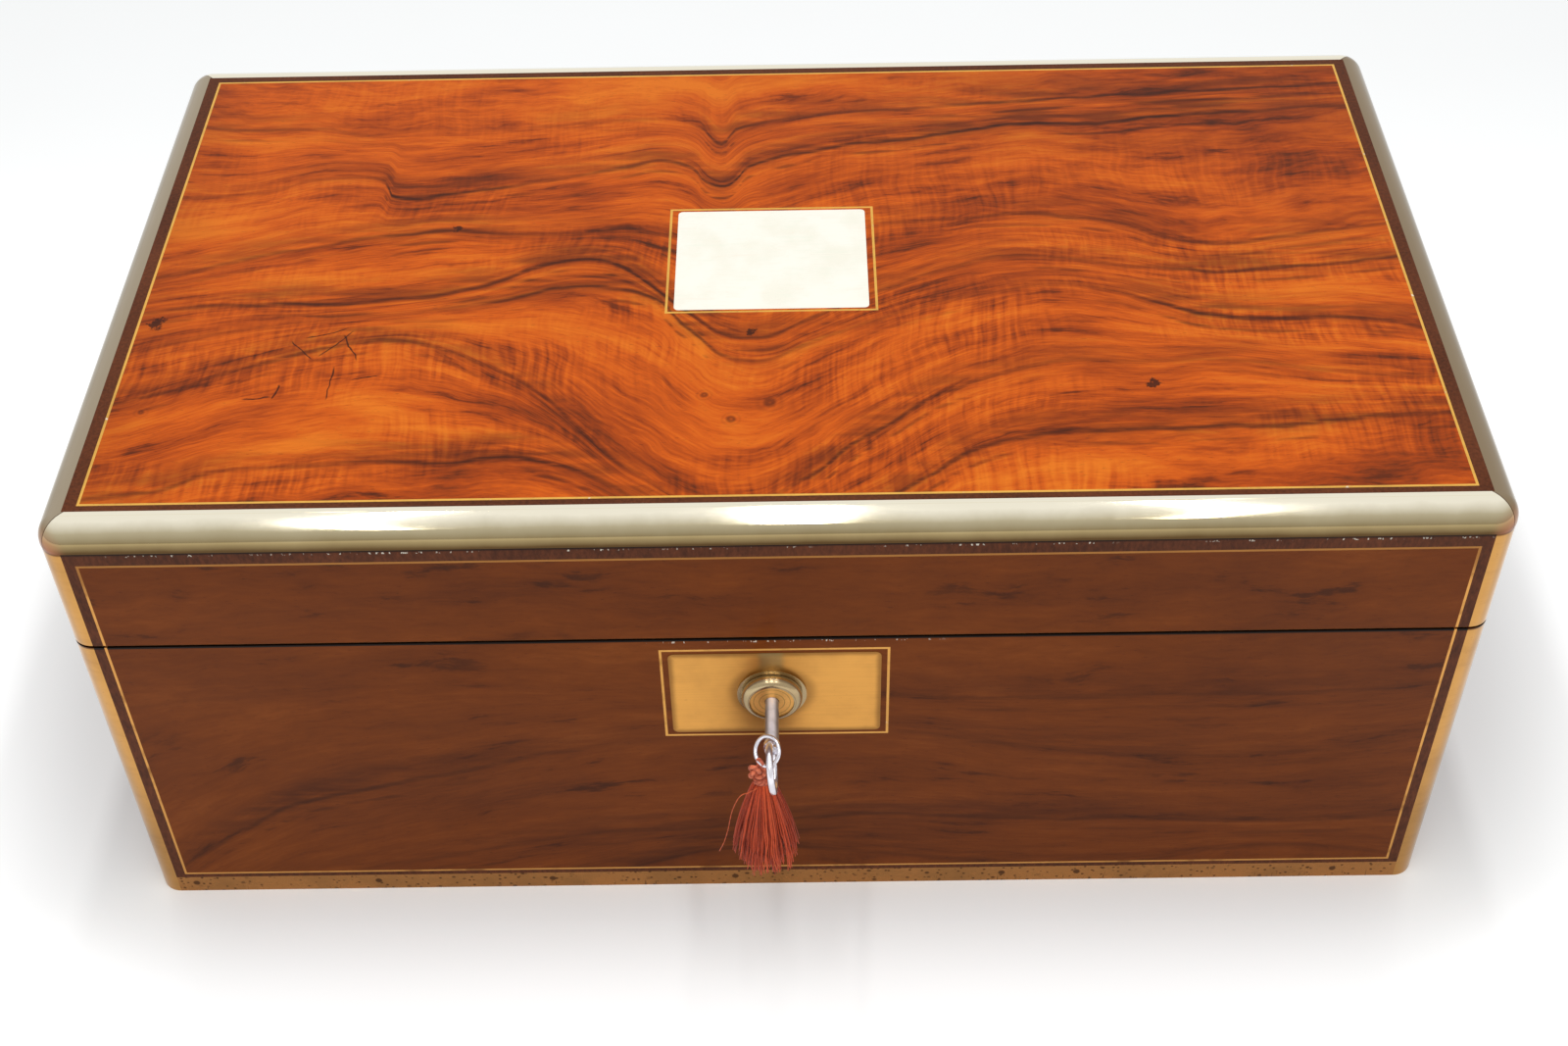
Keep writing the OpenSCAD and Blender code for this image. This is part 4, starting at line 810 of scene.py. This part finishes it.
class SlopeWood(bpy.types.PropertyGroup):
    """Colours of the walnut and of the dark crossbanding."""
    light: shade("Light", "Lightest walnut of the top", 222, 116, 28)
    warm: shade("Warm", "Orange body of the top's walnut", 204, 90, 18)
    brown: shade("Brown", "Brown bands of the top's walnut", 164, 66, 13)
    dark: shade("Dark", "Darkest bands of the top's walnut", 98, 40, 12)
    ink: shade("Lines", "Dark lines of the grain", 50, 20, 8)
    # The walls' tones: a browner copy of the top's walnut, made darker as painted shade
    wall_light: shade("Wall light", "Lightest walnut of the walls", 142, 74, 24)
    wall_warm: shade("Wall warm", "Body of the walls' walnut", 118, 57, 14)
    wall_brown: shade("Wall brown", "Brown bands of the walls' walnut", 99, 46, 11)
    wall_dark: shade("Wall dark", "Darkest bands of the walls' walnut", 78, 34, 12)
    wall_ink: shade("Wall lines", "Dark lines of the walls' grain", 40, 18, 8)
    band: shade("Crossbanding", "Dark wood beside the brass line", 92, 48, 26)
    varnish: number(
        "Varnish", "How much clear varnish lies on the veneer", 0.14, min=0.0, max=1.0, subtype="FACTOR")


class SlopeMetal(bpy.types.PropertyGroup):
    """Colours of the brass, steel and nickel."""
    strip: shade("Corner strips", "Brass of the upright corner strips", 182, 134, 73)
    foot: shade("Foot strips", "Brass of the strips along the foot", 168, 116, 64)
    line: shade("Stringing", "Brass of the thin inlaid lines", 238, 184, 88)
    plate: shade("Lock plate", "Brass of the plate round the lock", 213, 154, 77)
    turned: shade("Turned brass", "Brass of the inkwells' caps and the fittings", 205, 172, 116)
    nozzle: shade("Nozzle", "Pale brass of the lock's nozzle", 170, 152, 118)
    barrel: shade("Barrel", "Golden face of the lock's barrel", 240, 184, 104)
    shade: shade("Brass shade", "Duller brass in the clouds of tarnish", 138, 98, 54)
    nickel: shade("Nickel", "Plated key and split ring", 222, 219, 226)
    steel: shade("Steel", "Steel of the bolt and hinge pins", 150, 148, 146)


class SlopeInside(bpy.types.PropertyGroup):
    """Colours of the inside, the name plate and the underside."""
    leather: shade("Leather", "Leather of the writing boards", 38, 74, 50)
    gilt: shade("Gilt", "Gold tooling on the leather", 214, 168, 82)
    pine: shade("Carcass", "Stained pine of the case", 158, 106, 62)
    walnut: shade("Fittings", "Plain walnut of the boards and ledges", 114, 63, 30)
    baize: shade("Baize", "Felt under the case", 52, 66, 44)
    pearl: shade("Pearl", "Light part of the name plate", 250, 248, 236)
    cream: shade("Cream", "Darker clouds of the name plate", 240, 236, 218)


class SlopeTassel(bpy.types.PropertyGroup):
    """Sizes and colours of the silk tassel."""
    strands: bpy.props.IntProperty(
        name="Strands", description="Number of silk strands", default=680, min=20, max=900)
    length: number("Length", "Length of the strands", 0.036, min=0.01, max=0.1, unit="LENGTH")
    hem: number("Hem", "Radius of the strands' lower ends", 0.0112, min=0.002, max=0.03, unit="LENGTH")
    strand: number(
        "Strand", "Radius of one strand", 0.00022, min=0.0001, max=0.001, unit="LENGTH", precision=5)
    seed: bpy.props.IntProperty(name="Seed", description="Seed of the strands", default=7, min=0)
    light: shade("Light", "Light silk", 216, 84, 42)
    dark: shade("Dark", "Silk between the strands", 114, 30, 14)
    glow: shade("Glow", "Orange of the brightest strands", 236, 128, 72)
    cord: shade("Cord", "Coral cord of the loop and the knot", 224, 122, 92)


class SlopeStage(bpy.types.PropertyGroup):
    """The camera's place, the light and the floor."""
    eye: bpy.props.FloatVectorProperty(
        name="Camera", description="Place of the camera", subtype="TRANSLATION", unit="LENGTH",
        default=(0.00857, -0.5875, 0.6311))
    pitch: number("Pitch", "How far the camera looks down", math.radians(44.409), subtype="ANGLE")
    yaw: number("Yaw", "How far the camera turns to the right", math.radians(-0.752), subtype="ANGLE")
    roll: number("Roll", "How far the camera leans", math.radians(-1.358), subtype="ANGLE")
    lens: number("Lens", "Focal length for a sensor 36 mm wide", 48.684, min=10.0)
    sky: number("Sky", "Strength of the even light from all round", 0.34, min=0.0)
    lamp: number("Lamps", "Power of each of the three lamps overhead", 8.8, min=0.0, unit="POWER")
    floor: shade("Floor", "Colour of the floor", 245, 247, 248)


# Strands


def strand_tree(material):
    """Geometry Nodes that hang tapered strands in a bell from one point."""
    tree = bpy.data.node_groups.new("Hanging strands", "GeometryNodeTree")
    tree.interface.new_socket("Geometry", in_out="OUTPUT", socket_type="NodeSocketGeometry")
    kinds = {"Strands": "NodeSocketInt", "Seed": "NodeSocketInt"}
    for name in STRAND_INPUTS:
        tree.interface.new_socket(name, in_out="INPUT", socket_type=kinds.get(name, "NodeSocketFloat"))
    board = Board(tree)
    source = tree.nodes.new("NodeGroupInput")
    given = {name: Wire(board, source.outputs[name]) for name in STRAND_INPUTS}

    def chance(low, high, index, seed_shift):
        return board.add(
            "FunctionNodeRandomValue", {"data_type": "FLOAT"},
            {2: low, 3: high, 7: index, 8: given["Seed"] + float(seed_shift)}, 1)

    points = board.add("GeometryNodePoints", None, {"Count": given["Strands"]})
    line = board.add("GeometryNodeCurvePrimitiveLine", None, {"End": (0.0, 0.0, -1.0)})
    line = board.add("GeometryNodeResampleCurve", None, {"Curve": line, "Count": STRAND_STEPS})
    many = board.add("GeometryNodeInstanceOnPoints", None, {"Points": points, "Instance": line})
    many = board.add("GeometryNodeRealizeInstances", None, {"Geometry": many})
    index = board.add("GeometryNodeCurveOfPoint", None, None, 0)
    fall = board.add("GeometryNodeSplineParameter", None, None, 0)
    turn = chance(0.0, 2 * math.pi, index, 0)
    reach = chance(0.03, 1.0, index, 1) ** 0.5
    longer = chance(0.93, 1.04, index, 2)
    lock_of_hair = board.noise((turn * 1.9, reach * 1.5, 0.0), 1.0, 1)
    swing = chance(-1.0, 1.0, index, 3)
    bell = board.curve(fall, STRAND_BELL) * given["Hem"]
    out = bell * reach * (1.0 + (lock_of_hair - 0.5) * 0.25 * fall)
    drift = board.noise((index * 0.731, fall * 2.2, 0.0), 1.0, 1) - 0.5
    angle = turn + drift * 0.5 * fall + swing * 0.06
    length = given["Length"] * longer * (1.0 + (lock_of_hair - 0.5) * 0.08)
    place = board.join(
        out * angle.cosine(), out * angle.sine(),
        (fall * -1.0) * length - (1.0 - reach) * given["Length"] * 0.02)
    placed = board.add("GeometryNodeSetPosition", None, {"Geometry": many, "Position": place})
    tint = chance(0.0, 1.0, index, 4)
    placed = board.add(
        "GeometryNodeStoreNamedAttribute", {"data_type": "FLOAT", "domain": "POINT"},
        {"Geometry": placed, "Name": "strand", "Value": tint * 0.65 + lock_of_hair * 0.35})
    ring = board.add("GeometryNodeCurvePrimitiveCircle", None, {"Resolution": 5, "Radius": 1.0})
    skin = board.add(
        "GeometryNodeCurveToMesh", None,
        {"Curve": placed, "Profile Curve": ring, "Scale": given["Strand"] * (1.0 - fall * 0.35),
         "Fill Caps": True})
    skin = board.add("GeometryNodeRealizeInstances", None, {"Geometry": skin})
    skin = board.add("GeometryNodeSetMaterial", None, {"Geometry": skin, "Material": material})
    target = tree.nodes.new("NodeGroupOutput")
    tree.links.new(skin.socket, target.inputs[0])
    return tree


def grown(tree, name, values):
    """A plain mesh object made by a Geometry Nodes tree with the given inputs."""
    holder = bpy.data.objects.new(name, bpy.data.meshes.new(name + "_seed"))
    bpy.context.scene.collection.objects.link(holder)
    modifier = holder.modifiers.new("Nodes", "NODES")
    modifier.node_group = tree
    for item in tree.interface.items_tree:
        if item.in_out == "INPUT":
            modifier[item.identifier] = values[item.name]
    holder.update_tag()
    bpy.context.view_layer.update()
    mesh = bpy.data.meshes.new_from_object(
        holder.evaluated_get(bpy.context.evaluated_depsgraph_get()))
    holder.modifiers.remove(modifier)
    holder.data = mesh
    mesh.name = name
    if not len(mesh.polygons):
        raise RuntimeError(f"the nodes made no faces for {name}")
    return holder


# Operators


TONES = ("dark", "brown", "warm", "light", "ink")
FITTINGS = ("ink_shelf", "pen_partition", "ink_dividers", "pen_tray", "base_ledges", "lid_ledges")


class SLOPE_OT_woods(bpy.types.Operator):
    """Finish the veneers, the crossbanding and the boards"""
    bl_idname = "slope.woods"
    bl_label = "Woods"

    def execute(self, context):
        wood, inside = context.scene.slope_wood, context.scene.slope_inside
        top = colours(wood, *TONES)
        # the walls' tones: the top's walnut, browner and darker as painted shade
        wall = colours(wood, *("wall_" + tone for tone in TONES))
        finish_node("lid_veneer", veneered("walnut_lid", True, top, wall, wood.varnish))
        finish_node("base_veneer", veneered("walnut_walls", False, top, wall, wood.varnish))
        band = crossbanding([dulled(wood.band, factor) for factor in (0.6, 1.0, 1.4)])
        for node in ("lid_banding", "base_banding"):
            finish_node(node, band)
        pine = [dulled(inside.pine, factor) for factor in (0.55, 1.0, 1.25)]
        plain = [dulled(inside.walnut, factor) for factor in (0.5, 1.0, 1.35)]
        carcass = plain_wood("stained_pine", pine, (0.02, 0.4, 0.4))
        fittings = plain_wood("inner_walnut", plain, (0.02, 0.5, 0.5), 0.1)
        for node in NODES:
            if node.endswith("_board") and node.startswith(("base_", "lid_")):
                finish_node(node, carcass)
            elif node.endswith("_board") or node in FITTINGS:
                finish_node(node, fittings)
        return {"FINISHED"}


BRASSES = (  # name, colour, run of the fine lines, roughness, tarnish, extra, relief, nodes
    ("edging", "strip", (0.06, 0.06, 0.5), 0.15, 0.3, edging_extra, 0.08,
     "base_corner_strips lid_corner_strips lid_front_edging lid_back_edging lid_side_edgings"),
    ("foot", "foot", (0.1, 0.1, 1.6), 0.26, 0.6, foot_extra, 0.4, "base_foot_strips"),
    ("line", "line", (0.3, 0.3, 0.3), 0.3, 0.3, line_extra, 0.4, "base_stringing lid_stringing"),
    ("plate", "plate", (0.04, 1.0, 3.4), 0.3, 0.2, plate_extra, 0.4, "escutcheon_plate"),
    ("turned", "turned", (2.0, 0.1, 2.0), 0.2, 0.35, None, 0.4, "inkwell_collars inkwell_caps"),
    ("nozzle", "nozzle", (2.0, 0.1, 2.0), 0.2, 0.25, ring_extra, 0.4, "lock_nozzle"),
    ("barrel", "barrel", (2.0, 0.1, 2.0), 0.4, 0.2, ring_extra, 0.4, "lock_barrel"),
    ("fittings", "turned", (0.1, 1.4, 1.4), 0.34, 0.4, None, 0.4,
     "lock_case lock_selvedge link_plate hinge_base_leaves hinge_lid_leaves upper_board_hinges "
     "lower_board_hinges"),
    ("screws", "line", (1.2, 1.2, 1.2), 0.34, 0.5, None, 0.4,
     "lock_screws link_screws hinge_base_screws hinge_lid_screws"))


class SLOPE_OT_metals(bpy.types.Operator):
    """Finish the brass, the steel and the nickel"""
    bl_idname = "slope.metals"
    bl_label = "Metals"

    def execute(self, context):
        metal = context.scene.slope_metal
        for name, colour, run, rough, tarnish, extra, relief, nodes in BRASSES:
            brass = brushed(
                "brass_" + name, *colours(metal, colour, "shade"), run, rough, tarnish, extra, relief)
            for node in nodes.split():
                finish_node(node, brass)
        nickel = nickel_plate(*colours(metal, "nickel", "steel"))
        steel = brushed("steel", tuple(metal.steel), TARNISH_AND_SHADE, (0.2, 1.8, 1.8), 0.34, 0.25)
        for material, nodes in ((nickel, ("key", "key_ring")), (steel, ("hinge_pins", "lock_bolt"))):
            for node in nodes:
                finish_node(node, material)
        return {"FINISHED"}


class SLOPE_OT_inside(bpy.types.Operator):
    """Finish the name plate, leather, glass and baize"""
    bl_idname = "slope.inside"
    bl_label = "Plate, leather, glass and baize"

    def execute(self, context):
        inside = context.scene.slope_inside
        finish_node("name_plate", pearl(*colours(inside, "pearl", "cream")))
        for node in ("upper_leather", "lower_leather"):
            finish_node(node, tooled_leather(*colours(inside, "leather", "gilt"), node))
        finish_node("inkwell_bottles", clear_glass())
        finish_node("base_baize", felt(tuple(inside.baize), dulled(inside.baize, 0.4)))
        return {"FINISHED"}


class SLOPE_OT_tassel(bpy.types.Operator):
    """Make the tassel: its loop, knot, binding and hanging strands"""
    bl_idname = "slope.tassel"
    bl_label = "Tassel"

    def execute(self, context):
        tassel = context.scene.slope_tassel
        silk_strands = silk("silk_strands", *colours(tassel, "light", "dark", "glow"))
        silk_cord = silk("silk_cord", *colours(tassel, "cord", "dark", "glow"))
        self.head(silk_cord)
        values = {name: getattr(tassel, name.lower()) for name in STRAND_INPUTS}
        skirt = grown(strand_tree(silk_strands), "tassel_strands", values)
        skirt.data.transform(Matrix.Translation((SKIRT_TOP + Vector((0.0, 0.0, SKIRT_RISE))) * MM))
        skirt.data.shade_smooth()
        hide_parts("tassel_skirt")
        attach(skirt, "tassel")
        self.stray(silk_strands)
        return {"FINISHED"}

    @staticmethod
    def head(material):
        """The loop through the split ring, the knot of two strands and the bound neck."""
        up = Vector((0.0, 0.0, 1.0))
        turns = (2 * math.pi * i / LOOP_STEPS for i in range(LOOP_STEPS))
        loop = [RING_LOW + (RING_WAY * math.cos(a) + up * math.sin(a)) * LOOP_R for a in turns]
        knot = []
        for a in (2 * math.pi * i / KNOT_STEPS for i in range(KNOT_STEPS)):
            wide = KNOT_WIDE + KNOT_TURN * math.cos(3 * a)
            knot.append(KNOT + Vector((
                wide * math.cos(2 * a), KNOT_TURN * 1.15 * math.sin(3 * a), wide * 1.08 * math.sin(2 * a))))
        neck_low = SKIRT_TOP + Vector((0.0, 0.0, 0.6))
        neck_high = KNOT + Vector((0.3, 0.0, -2.0))
        neck = [neck_high.lerp(neck_low, i / NECK_STEPS) for i in range(NECK_STEPS + 1)]
        wraps = []
        for t in (i / (WRAP_STEPS - 1) for i in range(WRAP_STEPS)):
            a = 2 * math.pi * WRAP_TURNS * t
            wraps.append(neck_high.lerp(neck_low, 0.25 + 0.5 * t)
                         + Vector((math.cos(a), math.sin(a), 0.0)) * (WRAP_R + WRAP_FLARE * t * t))
        parts = (
            tube(loop, LOOP_WIRE, 8, True, 3.0), tube(knot, KNOT_CORD, 9, True, 3.0),
            tube(neck, lambda t: NECK_R + NECK_FLARE * t * t, 14, False, 1.0),
            tube(wraps, WRAP_CORD, 6, False, 4.0))
        shades = 0.7, 0.85, 0.35, 0.6
        hold = made_piece("tassel_knot", parts, material, "tassel", shades)
        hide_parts("tassel_head")

    @staticmethod
    def stray(material):
        """One thread that has come loose at the left shoulder."""
        ends = [Vector(p) for p in STRAY]
        thread = tube(smooth_path(ends, 8), lambda t: STRAY_R - STRAY_TAPER * t, 6, False, 2.0)
        made_piece("stray_thread", [thread], material, "tassel", [0.9])


def shown_rays(board):
    """1 for the rays that show a background: those of the camera, of gloss and of glass."""
    seen, gloss, clear = (board.add("ShaderNodeLightPath", None, None, i) for i in (0, 3, 6))
    return seen.most(gloss).most(clear)


class SLOPE_OT_stage(bpy.types.Operator):
    """Set up the camera, the floor, the sky and the lamps"""
    bl_idname = "slope.stage"
    bl_label = "Stage"

    def execute(self, context):
        stage = context.scene.slope_stage
        self.camera(context.scene, stage)
        self.floor(context.scene, stage)
        self.sky(context.scene, stage)
        for name, place, size, turn, power in LAMPS:
            self.lamp(context.scene, name, place, size, math.radians(turn), power * stage.lamp)
        context.scene.view_settings.view_transform = "Standard"
        return {"FINISHED"}

    @staticmethod
    def camera(scene, stage):
        data = bpy.data.cameras.new("camera")
        data.sensor_fit = "HORIZONTAL"
        data.sensor_width = 36.0
        data.lens = stage.lens
        data.clip_start, data.clip_end = 0.01, 50.0
        data.dof.use_dof = False
        eye = bpy.data.objects.new("camera", data)
        ahead = Vector((
            math.sin(stage.yaw) * math.cos(stage.pitch), math.cos(stage.yaw) * math.cos(stage.pitch),
            -math.sin(stage.pitch)))
        right = Vector((math.cos(stage.yaw), -math.sin(stage.yaw), 0.0))
        up = right.cross(ahead)
        x_axis = math.cos(stage.roll) * right + math.sin(stage.roll) * up
        y_axis = math.cos(stage.roll) * up - math.sin(stage.roll) * right
        turned = Matrix((x_axis, y_axis, -ahead)).transposed().to_4x4()
        eye.matrix_world = Matrix.Translation(Vector(stage.eye)) @ turned
        scene.collection.objects.link(eye)
        scene.camera = eye

    @staticmethod
    def floor(scene, stage):
        mesh = bpy.data.meshes.new("floor")
        corners = [(x * FLOOR_HALF, y * FLOOR_HALF, 0) for x, y in ((-1, -1), (1, -1), (1, 1), (-1, 1))]
        mesh.from_pydata(corners, [], [(0, 1, 2, 3)])
        ground = bpy.data.objects.new("floor", mesh)
        scene.collection.objects.link(ground)
        board = Finish("floor")
        rough = board.noise(board.place, 0.01, 2)
        away = board.length(board.x, board.y)
        colour = board.mix(tuple(stage.floor), FLOOR_FAR, rough * 0.3)
        # painted shadow: the glow is kept off the floor close round the case
        shine = away.fade(*PAINTED_SHADOW_REACH, 0.0, GLOW_ROUND) * board.y.fade(*BEHIND_CASE, GLOW_BEHIND, 1.0)
        shine = shine + board.y.fade(*BEFORE_CASE, 0.0, GLOW_BEFORE)
        shine = shine + away.fade(*HORIZON, 0.0, GLOW_HORIZON)
        glow = board.add(
            "ShaderNodeEmission", None, {0: board.mix(BLACK, colour, shine), 1: shown_rays(board)})
        lit = board.done(base_color=colour, roughness=0.9, specular_ior_level=0.0)
        both = board.add("ShaderNodeAddShader", None, {
            0: Wire(board, board.shader.outputs[0]), 1: glow})
        board.feed(board.tree.nodes["Material Output"].inputs[0], both)
        mesh.materials.append(lit)

    @staticmethod
    def sky(scene, stage):
        world = bpy.data.worlds.new("sky")
        world.use_nodes = True
        scene.world = world
        board = Board(world.node_tree)
        plain = world.node_tree.nodes["Background"]
        plain.inputs[0].default_value = (1.0, 1.0, 1.0, 1.0)
        board.feed(plain.inputs[1], shown_rays(board) * (SKY_SHOWN - stage.sky) + stage.sky)

    @staticmethod
    def lamp(scene, name, place, size, turn, power):
        """A long tube light that faces straight down."""
        data = bpy.data.lights.new(name, "AREA")
        data.shape = "RECTANGLE"
        data.size, data.size_y = size
        data.energy = power
        data.color = LAMP_COLOUR
        lamp = bpy.data.objects.new(name, data)
        lamp.location = place
        lamp.rotation_euler = 0.0, 0.0, turn
        scene.collection.objects.link(lamp)


class SLOPE_PT_panel(bpy.types.Panel):
    """Lists the sizes, colours and steps of the writing slope"""
    bl_idname = "SLOPE_PT_panel"
    bl_label = "Writing slope"
    bl_space_type = "VIEW_3D"
    bl_region_type = "UI"
    bl_category = "Slope"

    def draw(self, context):
        for step, holder in STEPS:
            box = self.layout.box()
            box.operator(step)
            group = getattr(context.scene, holder)
            for name in group.__annotations__:
                box.prop(group, name)


STEPS = (
    ("slope.stage", "slope_stage"), ("slope.woods", "slope_wood"), ("slope.metals", "slope_metal"),
    ("slope.inside", "slope_inside"), ("slope.tassel", "slope_tassel"))
GROUPS = {
    "slope_wood": SlopeWood, "slope_metal": SlopeMetal, "slope_inside": SlopeInside,
    "slope_tassel": SlopeTassel, "slope_stage": SlopeStage}
CLASSES = (
    *GROUPS.values(), SLOPE_OT_woods, SLOPE_OT_metals, SLOPE_OT_inside, SLOPE_OT_tassel,
    SLOPE_OT_stage, SLOPE_PT_panel)


def register():
    for each in CLASSES:
        bpy.utils.register_class(each)
    for name, group in GROUPS.items():
        setattr(bpy.types.Scene, name, bpy.props.PointerProperty(type=group))


def unregister():
    for name in GROUPS:
        delattr(bpy.types.Scene, name)
    for each in reversed(CLASSES):
        bpy.utils.unregister_class(each)


def main():
    register()
    bpy.ops.slope.stage()
    bpy.ops.slope.woods()
    bpy.ops.slope.metals()
    bpy.ops.slope.inside()
    bpy.ops.slope.tassel()


if __name__ == "__main__":
    main()
